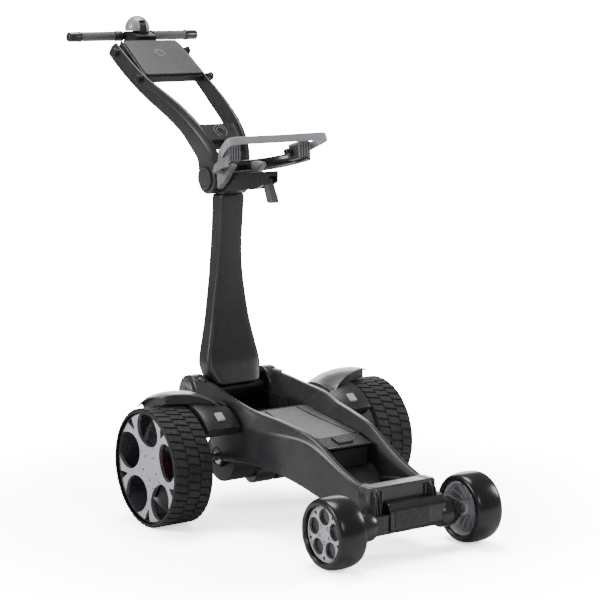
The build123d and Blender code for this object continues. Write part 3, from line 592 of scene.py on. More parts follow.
def triangle_cutter(centre, angle, tip_r, base_r, half_base, x_low, x_high, sign):
    """A round-sided wedge between two spoke ends."""
    bm = bmesh.new()
    outline = [(0, tip_r), (half_base, base_r), (-half_base, base_r)]
    points = [Vector((x_low * MM * sign, u * MM, v * MM)) for u, v in outline]
    face = bmesh.ops.contextual_create(bm, geom=ring(bm, eased(points, 3.0)))["faces"]
    pushed_out(bm, face, (x_high - x_low) * sign)
    turned_into_place(bm, bm.verts, radians(angle), centre)
    return bm


def spider(side, sign):
    """Silver five-spoke cover with wide windows, forked spoke ends and screw recesses."""
    face_x = 300.0
    profile = [
        (face_x - 16, CENTRE_R), (face_x - 16, 30), (face_x - 13, 60), (face_x - 7, 112.5),
        (face_x + 0.2, 112.5), (face_x + 0.4, 106), (face_x - 1.2, 96), (face_x - 5, 62),
        (face_x - 7.0, 44), (face_x - 7.4, 36), (face_x - 6.6, 30), (face_x - 6.6, CENTRE_R),
    ]
    bm = lathe(profile, REAR_AXLE, 120, sign)
    cover = piece(
        f"rear_wheel_{side}_spider", bm, SILVER, f"rear_wheel_{side}",
        [f"rear_wheel_cover_{side}"],
    )
    back, front = face_x - 20, face_x + 4
    cutters = []
    for index in range(SPOKES):
        angle = index * 360 / SPOKES
        between = angle + 180 / SPOKES
        cutters.append(oval_cutter(REAR_AXLE, 81.5, 39.6, 38.2, angle, back, front, sign, 48, -0.10))
        cutters.append(triangle_cutter(REAR_AXLE, between, 86, 116, 12.0, back, front, sign))
        cutters.append(oval_cutter(REAR_AXLE, 27, 2.6, 2.6, between, face_x - 11, front, sign, 12))
    cut(cover, cutters)
    rounded(cover, 2.4, 4, 40)
    bm = bmesh.new()
    for index in range(SPOKES):
        angle = 2 * pi * index / SPOKES
        for lean in (-0.34, 0.34):
            bead = bmesh.ops.create_cone(
                bm, cap_ends=True, segments=10, radius1=1.0 * MM, radius2=0.8 * MM, depth=5 * MM,
                matrix=Matrix.Rotation(radians(90), 4, "Y"),
            )["verts"]
            turn = angle + lean
            spot = REAR_AXLE + Vector((0, -sin(turn), cos(turn))) * PIN_CIRCLE_R * MM
            spot.x = sign * (face_x - 7) * MM
            bmesh.ops.translate(bm, vec=spot, verts=bead)
    piece(f"rear_wheel_{side}_pins", bm, STEEL, f"rear_wheel_{side}")


def rear_barrel(side, sign):
    """Deep dark barrel behind the spider, with a hub tube and a stepped web."""
    inner = REAR_INNER + 2
    profile = [
        (inner, REAR_SEAT), (299.4, REAR_SEAT), (300.0, 115.2), (300.0, 113.4), (297, 112.6), (290, 111),
        (262, 107), (248, 104), (243, 98), (242.5, 60), (244, 40), (250, 30), (262, 26), (284, 24),
        (287, 20), (287, 8.5), (inner, 8.5), (inner, 26), (236, 28), (238, 60), (238, 100), (inner, 110),
        (inner, REAR_SEAT),
    ]
    bm = lathe(profile, REAR_AXLE, 96, sign)
    for index in range(10):
        angle = radians(index * 36)
        rib = box_between(bm, Vector((-0.5, -1.4 * MM, 33 * MM)), Vector((0.5, 1.4 * MM, 100 * MM)))
        for vert in rib:
            vert.co.x = sign * (241 if vert.co.x < 0 else 249) * MM
        turned_into_place(bm, rib, angle, REAR_AXLE)
    piece(
        f"rear_wheel_{side}_barrel", bm, BARREL, f"rear_wheel_{side}", [f"rear_rim_{side}"],
        bevel=(0.8, 2, 45),
    )


# ---------------------------------------------------------------- front wheels
FRONT_INNER, FRONT_OUTER = 137.0, 201.0


def front_tyre(side, sign):
    """Smooth rounded tyre with a bead line each side."""
    centre_x, half = (FRONT_INNER + FRONT_OUTER) / 2, (FRONT_OUTER - FRONT_INNER) / 2
    steps = 26
    profile = [(centre_x - half + 5, 55.0), (centre_x - half + 1.5, 56.2)]
    for index in range(steps + 1):
        angle = pi * index / steps
        bulge = max(sin(angle), 0.0) ** 0.45
        profile.append((centre_x - half * cos(angle), 57 + 14.9 * bulge))
    profile += [(centre_x + half - 1.5, 56.2), (centre_x + half - 5, 55.0)]
    bm = lathe(profile, FRONT_AXLE, 128, sign)
    piece(
        f"front_tyre_{side}_smooth", bm, FRONT_RUBBER, f"front_wheel_{side}",
        [f"front_tyre_{side}"], sharp=50,
    )


def front_hub(side, sign):
    """Silver hub: a five-window face outside, and a finned dish inside."""
    face_x = 193.0
    profile = [
        (face_x - 6, CENTRE_R), (face_x - 5, 51), (face_x + 0.2, 51), (face_x - 0.2, 30),
        (face_x - 0.2, CENTRE_R),
    ]
    bm = lathe(profile, FRONT_AXLE, 90, sign)
    cover = piece(
        f"front_hub_{side}_face", bm, SILVER, f"front_wheel_{side}", [f"front_rim_{side}"],
    )
    back, front = face_x - 9, face_x + 4
    cutters = []
    for index in range(SPOKES):
        angle = index * 360 / SPOKES
        between = angle + 180 / SPOKES
        cutters.append(oval_cutter(FRONT_AXLE, 34.2, 17.2, 16.2, angle, back, front, sign, 36))
        cutters.append(triangle_cutter(FRONT_AXLE, between, 40, 50.2, 5.0, back, front, sign))
    cut(cover, cutters)
    rounded(cover, 0.8, 3, 40)
    bm = bmesh.new()
    slot_x = sign * (face_x - 0.6)
    for index in range(SPOKES):
        angle = 2 * pi * index / SPOKES
        for lean, reach in ((0.5, 15), (-0.5, 15), (0.62, 20)):
            low = Vector((slot_x - 0.8, -2.2, reach - 0.8)) * MM
            high = Vector((slot_x + 0.8, 2.2, reach + 0.8)) * MM
            turned_into_place(bm, box_between(bm, low, high), angle + lean, FRONT_AXLE)
    piece(f"front_hub_{side}_slots", bm, GLOSS_BLACK, f"front_wheel_{side}")
    profile = [(185.5, 5.4), (185.5, 50.5), (186.6, 50.5), (186.6, 5.4), (185.5, 5.4)]
    bm = lathe(profile, FRONT_AXLE, 64, sign)
    piece(f"front_hub_{side}_back", bm, GLOSS_BLACK, f"front_wheel_{side}")
    profile = [
        (144, 55), (145, 54.2), (146, 51.5), (168, 46), (180, 40), (183, 17), (176, 16), (152, 15),
        (150, 13), (150, 5.2),
        (184.6, 5.2), (184.6, 52), (192.6, 52), (193, 53.8), (192.4, 55),
    ]
    bm = lathe(profile, FRONT_AXLE, 90, sign)
    fins = 15
    for index in range(fins):
        fin = box_between(bm, Vector((-0.5, -1.1 * MM, 15 * MM)), Vector((0.5, 1.1 * MM, 51 * MM)))
        for vert in fin:
            deep = vert.co.x > 0
            vert.co.x = sign * (184 if deep else (154 if vert.co.z > 30 * MM else 166)) * MM
        turned_into_place(bm, fin, 2 * pi * index / fins, FRONT_AXLE)
    piece(f"front_hub_{side}_dish", bm, DISH, f"front_wheel_{side}", bevel=(0.5, 2, 45))


# ---------------------------------------------------------------- chassis
# Each station: y, seam x, seam z, crest x, crest z, side x, side z, hem x, hem z, inner hem z
RAIL_STATIONS = [
    (130, 76, 222, 102, 271, 112, 240, 112, 215, 200),
    (80, 76, 228, 94, 272, 118, 217, 119, 197, 190),
    (40, 76, 230, 98, 267, 123, 205, 125, 178, 170),
    (5, 74, 229, 102, 260, 125, 200, 128, 114, 142),
    (-45, 71, 225, 108, 254, 125, 200, 128, 124, 142),
    (-80, 69, 219, 110, 247, 125, 202, 128, 129, 142),
    (-120, 68, 213, 101, 238, 124, 204, 128, 133, 142),
    (-160, 67, 209, 94, 235, 120, 206, 126, 133, 142),
    (-200, 66, 205, 88, 229, 113, 207, 122, 130, 142),
    (-245, 64, 199, 83, 222, 100, 206, 112, 122, 142),
    (-283, 63, 190, 77, 213, 90, 200, 96, 106, 136),
    (-329, 62, 165, 75, 190, 85, 178, 91, 93, 112),
    (-376, 62, 147, 74, 164, 82, 157, 88, 86, 104),
    (-425, 62, 136, 73, 147, 82, 134, 86, 80, 94),
    (-444, 62, 132, 73, 143, 81, 131, 84, 76, 92),
]
RAIL_T = 5.0


def rail_loop(station, sign):
    """The rail's channel at one station, with eased corners."""
    y, seam_x, seam_z, crest_x, crest_z, side_x, side_z, hem_x, hem_z, inner_z = station
    outline = [
        (seam_x, inner_z), (seam_x, seam_z), (crest_x - 6, crest_z - 0.5), (crest_x + 6, crest_z - 1),
        (side_x + 0.5, side_z + 1), (hem_x, hem_z), (hem_x - RAIL_T, hem_z),
        (side_x - RAIL_T, side_z - RAIL_T), (crest_x + 4, crest_z - 10), (crest_x - 4, crest_z - 9),
        (seam_x + RAIL_T, seam_z - 3), (seam_x + RAIL_T, inner_z),
    ]
    points = [at(sign * x, y, z) for x, z in outline]
    return eased(points, 1.1)


def chassis_rail(side, sign):
    """Long swept side moulding with two soft ridges, and the hinge ear behind it."""
    sections = [rail_loop(station, sign) for station in RAIL_STATIONS]
    first, last = sections[0], sections[-1]
    sections.insert(1, [a.lerp(b, 0.04) for a, b in zip(first, sections[1])])
    sections.insert(-1, [a.lerp(b, 0.08) for a, b in zip(last, sections[-2])])
    bm = bmesh.new()
    loft(bm, sections)
    shape = piece(
        f"chassis_rail_{side}_shell", bm, GRAPHITE, "chassis", [f"chassis_rail_{side}"],
    )
    smoothed(shape)
    bm = bmesh.new()
    rod_x(bm, 40, sign * 94 - 18, sign * 94 + 18, NECK, 72)
    piece(f"neck_ear_{side}", bm, GRAPHITE, "chassis", bevel=(6, 5, 40))
    profile = [
        (111, 30), (116.5, 30), (118, 28), (118, 22), (117, 20.5), (117, 14), (118, 12.5), (118, CENTRE_R),
        (111, CENTRE_R),
    ]
    bm = lathe(profile, middle("neck_hinge_caps"), 72, sign)
    piece(
        f"neck_cap_{side}", bm, GUARD, "chassis", once(sign, "neck_hinge_caps"),
        bevel=(0.7, 2, 40),
    )


# Each point: x, radius about the rear axle
GUARD_PROFILE = [
    (128, 121), (150, 131), (168, 141), (190, 149), (215, 152.5), (240, 152.5), (256, 150), (266, 145),
]
GUARD_FRONT, GUARD_SWEEP, GUARD_T, LINING_SETBACK = 45.0, 85.0, 2.8, 4.0


def wheel_arc_points(outline, degrees, sign):
    """Points given by x and radius, on a spoke of the rear wheel leaning forward by an angle."""
    lean = Matrix.Rotation(radians(degrees), 3, "X")
    centre = Vector((0, REAR_AXLE.y, REAR_AXLE.z))
    return [lean @ Vector((sign * x * MM, 0, r * MM)) + centre for x, r in outline]


def trim_ahead(bm, plane_point, outward):
    """Cut away what lies beyond an upright plane."""
    geom = list(bm.verts) + list(bm.edges) + list(bm.faces)
    bmesh.ops.bisect_plane(bm, geom=geom, plane_co=plane_point, plane_no=outward, clear_outer=True)


def mudguard(side, sign):
    """Crowned grey guard over the tyre's inner part, with a slanted front edge and a dark lining."""
    centre = Vector((0, REAR_AXLE.y, REAR_AXLE.z))
    start, end = at(sign * 100, -66, 0), at(sign * 286, 0, 0)
    along = end - start
    outward = Vector((along.y, -along.x, 0)) * sign
    bm = bmesh.new()
    crown = [(x, r - 1.5) for x, r in GUARD_PROFILE]
    verts = [bm.verts.new(point) for point in wheel_arc_points(crown, GUARD_FRONT, sign)]
    for pair in zip(verts, verts[1:]):
        bm.edges.new(pair)
    sweep(bm, centre, -GUARD_SWEEP, 22)
    trim_ahead(bm, start, outward)
    bmesh.ops.remove_doubles(bm, verts=bm.verts, dist=1e-5)
    guard = piece(
        f"mudguard_{side}_shell", bm, GUARD, "chassis", [f"mudguard_{side}"], sharp=60,
    )
    bm = bmesh.new()
    outline = [(x, r - 3) for x, r in GUARD_PROFILE if x <= 262] + [(256, 130), (132, 130)]
    edges = ring(bm, wheel_arc_points(outline, GUARD_FRONT, sign))
    bmesh.ops.contextual_create(bm, geom=edges)
    sweep(bm, centre, 2 - GUARD_SWEEP, 22)
    trim_ahead(bm, start - outward.normalized() * LINING_SETBACK * MM, outward)
    bmesh.ops.holes_fill(bm, edges=[edge for edge in bm.edges if edge.is_boundary], sides=0)
    piece(f"mudguard_{side}_lining", bm, BLACK, "chassis", sharp=50)
    wall = guard.modifiers.new("Wall", "SOLIDIFY")
    wall.thickness = GUARD_T * MM
    wall.offset = 0
    rounded(guard, 1.0, 2, 50)


def deck_louvres():
    """Tilted slats across the deck behind the hatch."""
    bm = bmesh.new()
    for index in range(6):
        y = -38 + index * 18
        box_between(bm, at(-70, y, 188), at(70, y + 9, 192), Matrix.Rotation(radians(-12), 3, "X"))
    piece("deck_louvres", bm, GLOSS_BLACK, "chassis", bevel=(1.0, 2))


def hatch_ribs():
    """Two low ribs along the hatch, drawing together towards its hinge."""
    top = [(-252, 199.6), (-200, 205.2), (-120, 214.2), (-62, 223.4)]
    section = [(-7, -1), (7, -1), (4, 1.3), (-4, 1.3)]
    for side in ("left", "right"):
        sign = SIDES[side]
        bm = bmesh.new()
        sections = []
        for index, (y, z) in enumerate(top):
            mid = 50 - index * 3.0
            sections.append([at(sign * (mid + dx), y, z + dz) for dx, dz in section])
        loft(bm, sections)
        piece(f"hatch_rib_{side}", bm, DECK, "battery_hatch", bevel=(0.8, 2, 30))


def neck_back_wall():
    """Upright dark wall behind the post's foot."""
    bm = bmesh.new()
    box_between(bm, at(-75.6, 168, 190), at(75.6, 173, 260))
    piece("neck_back_wall", bm, BLACK, "chassis", bevel=(2.0, 2))


def rail_fittings(side, sign):
    """Dark arch liner beside the tyre, neck skirt, pale tab on the liner, and the ear's catch."""
    centre = Vector((0, REAR_AXLE.y, REAR_AXLE.z))
    bm = bmesh.new()
    outline = [(127, 98), (127, 124), (136, 130), (200, 132), (209, 130), (209, 98)]
    bmesh.ops.contextual_create(bm, geom=ring(bm, wheel_arc_points(outline, 50, sign)))
    sweep(bm, centre, -88, 22)
    piece(f"arch_liner_{side}", bm, BLACK, "chassis", sharp=50, bevel=(2.0, 2, 50))
    bm = bmesh.new()
    box_between(bm, at(sign * 74.2 - 1.5, 20, 172), at(sign * 74.2 + 1.5, 170, 226))
    piece(f"neck_skirt_{side}", bm, BLACK, "chassis")
    bm = bmesh.new()
    tab_low = Vector((sign * 170 - 9, -11, 128.5)) * MM
    tab_high = Vector((sign * 170 + 9, 11, 135.5)) * MM
    turned_into_place(bm, box_between(bm, tab_low, tab_high), radians(37), REAR_AXLE)
    piece(f"rail_pad_{side}", bm, PAD, "chassis", bevel=(2.5, 3))
    # The right catch is painted pale as a highlight and the left one black as shade: one part in a lit and a
    # shaded colour.
    bm = bmesh.new()
    box_between(bm, at(sign * 98 - 5, 84, 270), at(sign * 98 + 5, 112, 275))
    piece(
        f"ear_latch_{side}", bm, PAD if sign > 0 else GLOSS_BLACK, "chassis", bevel=(2.0,
        3),
    )


# Each level: z, front y, rear y, inner x, outer x
NOSE_LEVELS = [
    (57, -488, -448, 58, 90), (64, -494, -446, 55, 92), (88, -492, -444, 58, 89), (116, -484, -440, 60, 83),
    (138, -479, -440, 60, 80), (145, -474, -442, 63, 77),
]


def nose_side(side, sign):
    """Swelling cheek at the rail's front, two thin fins on it, and a round knuckle on the axle."""
    bm = bmesh.new()
    sections = []
    for z, front_y, rear_y, inner_x, outer_x in NOSE_LEVELS:
        corners = [
            (inner_x, rear_y), (outer_x, rear_y), (outer_x, front_y + 14), (outer_x - 9, front_y),
            (inner_x + 3, front_y),
        ]
        sections.append(eased([at(sign * x, y, z) for x, y in corners], 2.5))
    loft(bm, sections)
    piece(f"nose_cheek_{side}", bm, GRAPHITE, "chassis", sharp=60, bevel=(1.2, 2, 45))
    bm = bmesh.new()
    for x, z_low, z_high in ((66, 66, 134), (74, 72, 128)):
        fin = [(-497, z_low), (-489, z_high), (-484, z_high + 2), (-484, z_low)]
        prism(bm, fin, sign * x - 1.3, sign * x + 1.3)
    piece(f"nose_fins_{side}", bm, GRAPHITE, "chassis", bevel=(1.0, 2, 40))
    profile = [(80, 9), (80, 26), (88, 30), (104, 31), (116, 29), (126, 23), (130, 15), (130, 9)]
    bm = lathe(profile, FRONT_AXLE, 64, sign)
    piece(f"axle_knuckle_{side}", bm, GLOSS_BLACK, "chassis", sharp=60, bevel=(1.5, 3, 40))


def bracket_front():
    """Tall rounded face of the front bracket, with a raised panel."""
    bm = bmesh.new()
    outline = [(-503, 60), (-505, 66), (-503, 100), (-496, 112), (-470, 116), (-470, 56), (-497, 55)]
    prism(bm, outline, -50, 92)
    piece("bracket_face", bm, GLOSS_BLACK, "chassis", bevel=(4.0, 4, 25))
    bm = bmesh.new()
    prism(bm, [(-506.2, 66), (-504.6, 98), (-502.6, 98), (-504, 66)], -40, 44)
    piece("bracket_panel", bm, BLACK, "chassis", bevel=(0.8, 2, 30))


# ---------------------------------------------------------------- post
# Each station: z, half width, front y, rear y
POST_STATIONS = [
    (253, 54, 96, 165), (292, 70, 118, 166), (309, 68, 122, 168), (352, 58, 127, 170),
    (394, 49, 132, 171), (437, 42.8, 134, 173), (481, 35.9, 133.6, 174), (524, 31.7, 132.5, 175),
    (568, 30.5, 129, 171), (612, 30.5, 124, 166), (668, 30.8, 118, 162),
]


def post():
    """Tall post with a flared foot and rounded corners."""
    sections = []
    for z, half_w, front_y, rear_y in POST_STATIONS:
        plan = [(-half_w, front_y), (half_w, front_y), (half_w, rear_y), (-half_w, rear_y)]
        sections.append(eased([at(x, y, z) for x, y in plan], 3.0))
    sections.insert(1, [a.lerp(b, 0.06) for a, b in zip(sections[0], sections[1])])
    sections.insert(-1, [a.lerp(b, 0.04) for a, b in zip(sections[-1], sections[-2])])
    bm = bmesh.new()
    loft(bm, sections)
    shape = piece("post_skin", bm, POST, "post", ["post_shell"])
    smoothed(shape)


# ---------------------------------------------------------------- cradle
CRADLE_Y, CRADLE_Z, CRADLE_TIP = 5.0, 753.0, 26.0
CRADLE_SLOPE = 0.25


def cradle_path(radius, tip, steps=22):
    """Points of a horseshoe in plan: from one tip round the rear to the other."""
    points = [(radius, -tip), (radius, -tip * 0.5), (radius, 0)]
    points += [(radius * cos(pi * i / steps), radius * sin(pi * i / steps)) for i in range(1, steps)]
    points += [(-radius, 0), (-radius, -tip * 0.5), (-radius, -tip)]
    return points


def cradle_point(x, y, up):
    """A point on the tipped cradle, from its own plan and height."""
    return at(x, CRADLE_Y + y, CRADLE_Z + up - CRADLE_SLOPE * y)


def cradle_band(name, material, stands_for, outer, inner, low, high, ease):
    """A band of the horseshoe between two radii and two heights; the upper one may vary along it."""
    pairs = list(zip(cradle_path(outer, CRADLE_TIP), cradle_path(inner, CRADLE_TIP)))
    sections = []
    for index, (far, near) in enumerate(pairs):
        share = abs(2 * index / (len(pairs) - 1) - 1)
        top = high(share) if callable(high) else high
        corners = [(*far, low), (*far, top), (*near, top), (*near, low)]
        sections.append(eased([cradle_point(*corner) for corner in corners], ease))
    bm = bmesh.new()
    loft(bm, sections)
    return piece(name, bm, material, "post", stands_for, sharp=50)


def band_top(share):
    """Height of the grey band: low at the rear, rising to the tips."""
    return -2 + 12 * share ** 4


def lining_top(share):
    """Height of the black lining: high at the rear, sinking to the tips."""
    return 12 - 6 * share ** 6


def cradle():
    """Grey outer band, black lining and lip."""
    cradle_band(
        "cradle_band", CRADLE, ["bag_cradle"], 104.8, 97.5, -13.5, band_top, 2.0,
    )
    cradle_band(
        "cradle_lining", GLOSS_BLACK, ["cradle_liner"], 98.5, 93.2, -11, lining_top, 1.6,
    )
    cradle_band("cradle_lip", CRADLE, [], 105.0, 91.8, -15.0, -10.2, 1.0)


def cradle_block(bm, outline, sign, rear_y, front_y):
    """A block of the cradle's own cross-section between two places along it."""
    loft(bm, [[cradle_point(sign * x, y, up) for x, up in outline] for y in (rear_y, front_y)])


def cradle_tip(side, sign):
    """Cheek at the post, and the tip's ribs, cover, core and peg."""
    bm = bmesh.new()
    outer = [(118, 716), (104, 738), (84, 740), (60, 738), (57, 733), (72, 718), (88, 700), (114, 681)]
    near = [(114, 714), (102, 735), (84, 737), (62, 735), (61, 733), (75, 719), (90, 703), (112, 685)]
    loops = [(28.8, near), (31, outer), (44, outer), (46.4, near)]
    loft(bm, [[at(sign * x, y, z) for y, z in outline] for x, outline in loops])
    piece(f"cradle_cheek_{side}", bm, CRADLE, "post", sharp=60, bevel=(1.2, 3, 50))
    bm = bmesh.new()
    for index in range(5):
        x = 76.5 + index * 6.3
        cradle_block(bm, [(x - 1.9, -7), (x + 1.9, -7), (x + 1.9, 25), (x - 1.9, 25)], sign, -27.5, -20)
    piece(f"cradle_tip_ribs_{side}", bm, CRADLE, "post", bevel=(0.9, 2))
    bm = bmesh.new()
    outline = [(73, 21), (103, 21), (104, -9), (104.6, -9), (104.6, 24), (100, 28), (77, 28), (73, 24)]
    cradle_block(bm, outline, sign, -25, 13)
    piece(f"cradle_tip_cover_{side}", bm, CRADLE, "post", bevel=(1.2, 2))
    bm = bmesh.new()
    cradle_block(bm, [(73.5, -8), (103, -10), (103, 21.5), (73.5, 21.5)], sign, -24, 12)
    piece(f"cradle_tip_{side}", bm, CAP, "post", bevel=(1.5, 2))
    bm = bmesh.new()
    centre = cradle_point(sign * 66, 0, 10)
    rod_x(bm, 7, centre.x / MM - 9, centre.x / MM + 9, centre, 24)
    piece(f"cradle_peg_{side}", bm, GLOSS_BLACK, "post", bevel=(1.5, 2))


def strap():
    """Flat strap looped in front of the bag, from tip to tip."""
    length, half_w, tip_w = 72.0, 128.0, 109.0
    slope = radians(26.565)
    rear_y, rear_z = -62 + length * cos(slope), 800 - length * sin(slope)
    path = [(-tip_w + 14, 4), (-tip_w + 3, 0), (-tip_w - 3, -12)]
    path += [(-half_w + 5, -50), (-half_w + 3, -62), (-half_w + 9, -length + 3)]
    path += [(-half_w + 22, -length), (-70, -length), (-25, -length), (25, -length), (70, -length)]
    path += [(-x, y) for x, y in path[6::-1]]
    sections = []
    for index, (x, y) in enumerate(path):
        before, after = path[max(index - 1, 0)], path[min(index + 1, len(path) - 1)]
        along = Vector((after[0] - before[0], after[1] - before[1])).normalized()
        inward = Vector((-along.y, along.x)) * 1.9
        sag = 1.2 * cos(pi * x / (2 * half_w)) if abs(x) < half_w else 0
        corners = []
        for shift, up in ((-1, -8.8), (1, -8.8), (1, 8.8), (-1, 8.8)):
            u, v = x + inward.x * shift, y + inward.y * shift + 2.0
            y_here = rear_y + v * cos(slope) + up * sin(slope)
            z_here = rear_z - v * sin(slope) + up * cos(slope) - sag
            corners.append(at(u, y_here, z_here))
        sections.append(eased(corners, 1.2))
    bm = bmesh.new()
    loft(bm, sections)
    band = piece("bag_strap_band", bm, STRAP, "post", ["bag_strap"], sharp=60)
    smoothed(band, 2)


# ---------------------------------------------------------------- handle
# Each station: low (y, z), high (y, z), inner x, outer x
ARM_STATIONS = [
    ((188, 700), (121, 712), 31.2, 48), ((181, 740), (112, 752), 33, 50), ((200, 768), (150, 798), 44, 62),
    ((225, 800), (185, 828), 50, 68), ((276, 831), (242, 863), 58, 75), ((331, 860), (304, 892), 68, 84),
    ((396, 898), (372, 925), 78, 91), ((469, 944), (446, 972), 78.5, 92), ((496, 962), (476, 988), 77, 90),
]


def handle_arm(side, sign):
    """Curved arm with a broad cut corner along its front, from the hub to the handlebar."""
    sections = []
    for low, high, inner_x, outer_x in ARM_STATIONS:
        cut_share = 12.0 / hypot(high[0] - low[0], high[1] - low[1])
        corner = (high[0] - cut_share * (high[0] - low[0]), high[1] - cut_share * (high[1] - low[1]))
        narrow = outer_x - 0.55 * (outer_x - inner_x)
        outline = [(inner_x, *low), (outer_x, *low), (outer_x, *corner), (narrow, *high), (inner_x, *high)]
        sections.append(eased([at(sign * x, y, z) for x, y, z in outline], 1.3))
    sections.insert(-1, [a.lerp(b, 0.1) for a, b in zip(sections[-1], sections[-2])])
    sections.insert(1, [a.lerp(b, 0.1) for a, b in zip(sections[0], sections[1])])
    bm = bmesh.new()
    loft(bm, sections)
    arm = piece(
        f"handle_arm_{side}", bm, ARM, "handle", once(sign, "handle_frame"),
    )
    smoothed(arm, 2)
    pivot = Vector((0, PIVOT.y, PIVOT.z))
    profile = [
        (31.4, 34), (33, 35), (44, 35), (46.5, 34), (48, 31.5), (48.2, 27), (46.5, 25.6),
        (46.5, CENTRE_R), (31.4, CENTRE_R),
    ]
    bm = lathe(profile, pivot, 96, sign)
    piece(f"handle_hub_{side}", bm, ARM, "handle", bevel=(0.8, 2, 40))
    profile = [
        (46.6, 25.0), (52.5, 24.6), (54.4, 22.8), (54.4, 20.0), (53.2, 19.0), (53.2, 17.6), (54.4, 16.8),
        (55.6, CENTRE_R), (46.6, CENTRE_R),
    ]
    bm = lathe(profile, pivot, 96, sign)
    piece(
        f"handle_cap_{side}", bm, CAP, "handle", once(sign, "handle_pivot_caps"), bevel=(0.4,
        2, 40),
    )


def ring_badge(name, centre, normal_turn, radius, body, material):
    """A plain generic badge: a closed ring round an open one."""
    bm = bmesh.new()
    for size, width, share in ((radius, 1.6, 1.0), (radius * 0.62, 1.3, 0.78)):
        low, high = size - width / 2, size + width / 2
        profile = [(low, 0), (high, 0), (high, 0.7), (low, 0.7)]
        verts = [bm.verts.new(Vector((r * MM, 0, h * MM))) for r, h in profile]
        edges = [bm.edges.new((verts[i - 1], verts[i])) for i in range(4)]
        bmesh.ops.spin(
            bm, geom=verts + edges, cent=Vector(), axis=Vector((0, 0, 1)),
            angle=2 * pi * share, steps=56, use_merge=size == radius,
        )
    bmesh.ops.holes_fill(bm, edges=[edge for edge in bm.edges if edge.is_boundary], sides=4)
    bmesh.ops.rotate(bm, cent=Vector(), matrix=normal_turn, verts=bm.verts)
    bmesh.ops.translate(bm, vec=centre, verts=bm.verts)
    piece(name, bm, material, body)


def crossbar():
    """Bridge between the arms with a raised badge."""
    bm = bmesh.new()
    outline = [(176, 759), (208, 799), (190, 817), (150, 783)]
    prism(bm, outline, -52, 52)
    piece("handle_crossbar", bm, GLOSS_BLACK, "handle", bevel=(3.5, 3))
    turn = Matrix.Rotation(radians(49.6), 3, "X")
    ring_badge("crossbar_badge", at(0, 169.2, 801.3), turn, 15.5, "handle", EMBLEM)


def console():
    """Lid with a rounded rim and a faint generic badge, and the rails beside it."""
    low, high = (353.0, 919.6), (464.5, 991.6)
    run = Vector((0, high[0] - low[0], high[1] - low[1]))
    length = run.length
    along = run / length
    above = Vector((0, -along.z, along.y))
    origin = at(0, low[0], low[1])

    def on_lid(x, s, up):
        return origin + Vector((x * MM, 0, 0)) + along * (s * MM) + above * (up * MM)

    bm = bmesh.new()
    outline = [(-74, 0), (74, 0), (67.3, length), (-67.3, length)]
    upper = eased([on_lid(x, s, 0) for x, s in outline], 5.0)
    lower = eased([on_lid(x, s, -5) for x, s in outline], 5.0)
    loft(bm, [lower, upper])
    piece("console_lid_panel", bm, LID, "console_lid", ["console_lid"], bevel=(1.4, 3, 40))
    turn = Matrix.Rotation(pi / 2 - along.angle(Vector((0, 0, 1))), 3, "X")
    ring_badge("lid_badge", on_lid(2, length * 0.62, -0.35), turn, 12.0, "console_lid", EMBLEM)
    bm = bmesh.new()
    for sign in (-1, 1):
        outline = [(75.2, -4), (78.5, -4), (71.8, length + 4), (68.5, length + 4)]
        loft(bm, [[on_lid(sign * x, s, up) for x, s in outline] for up in (-16, -2)])
    piece("console_side_rails", bm, ARM, "handle", bevel=(1.2, 2))
    soften("console_tray", BLACK, 1.6)


def grip(side, sign):
    """Ribbed soft grip, the bar's end and the collar beside the dome."""
    profile = [(52, 8.2), (52, 10.2), (53, 10.8)]
    profile += [(53 + i * 2.0, 10.8 if i % 2 else 10.45) for i in range(1, 42)]
    profile += [(137, 10.8), (138, 10.2), (138, 8.2)]
    bm = lathe(profile, BAR, 64, sign)
    piece(f"grip_{side}", bm, GRIP, "handle", once(sign, "grips"), sharp=60)
    profile = [
        (138, 8.2), (138, 11.4), (139, 12), (143, 12), (144, 11.2), (166, 11.2), (169.5, 10.4),
        (171.3, 8), (171.3, CENTRE_R),
    ]
    bm = lathe(profile, BAR, 64, sign)
    piece(f"grip_end_{side}", bm, GLOSS_BLACK, "handle", once(sign, "grip_caps"), sharp=50)
    profile = [(30, 8.3), (30, 11.2), (32, 11.9), (48, 11.9), (50, 11.0), (50, 8.3)]
    bm = lathe(profile, BAR, 64, sign)
    piece(f"bar_collar_{side}", bm, BLACK, "handle", sharp=50, bevel=(0.6, 2, 50))


DOME_R = 28.4


def dome():
    """Round cover with a dark slot in front and a softened edge at its foot."""
    centre = at(0, 516, 1018)
    bm = bmesh.new()
    profile = [(CENTRE_R, DOME_R)]
    profile += [(DOME_R * sin(radians(a)), DOME_R * cos(radians(a))) for a in range(6, 104, 6)]
    verts = [bm.verts.new(centre + Vector((r * MM, 0, h * MM))) for r, h in profile]
    edges = [bm.edges.new(pair) for pair in zip(verts, verts[1:])]
    bmesh.ops.spin(
        bm, geom=verts + edges, cent=centre, axis=Vector((0, 0, 1)),
        angle=2 * pi, steps=64, use_merge=True,
    )
    bmesh.ops.remove_doubles(bm, verts=bm.verts, dist=1e-5)
    bmesh.ops.holes_fill(bm, edges=[edge for edge in bm.edges if edge.is_boundary], sides=80)
    cover = piece("speed_dome", bm, DOME, "handle", ["speed_housing"], sharp=60)
    cutter = bmesh.new()
    box_between(cutter, at(-8.2, 480, 1003), at(8.2, 506, 1036))
    wheel_bay = bmesh.new()
    rod_x(wheel_bay, 20.2, -8.2, 8.2, at(0, 504, 1014), 48)
    cut(cover, [cutter, wheel_bay])
    rounded(cover, 0.7, 2, 45)


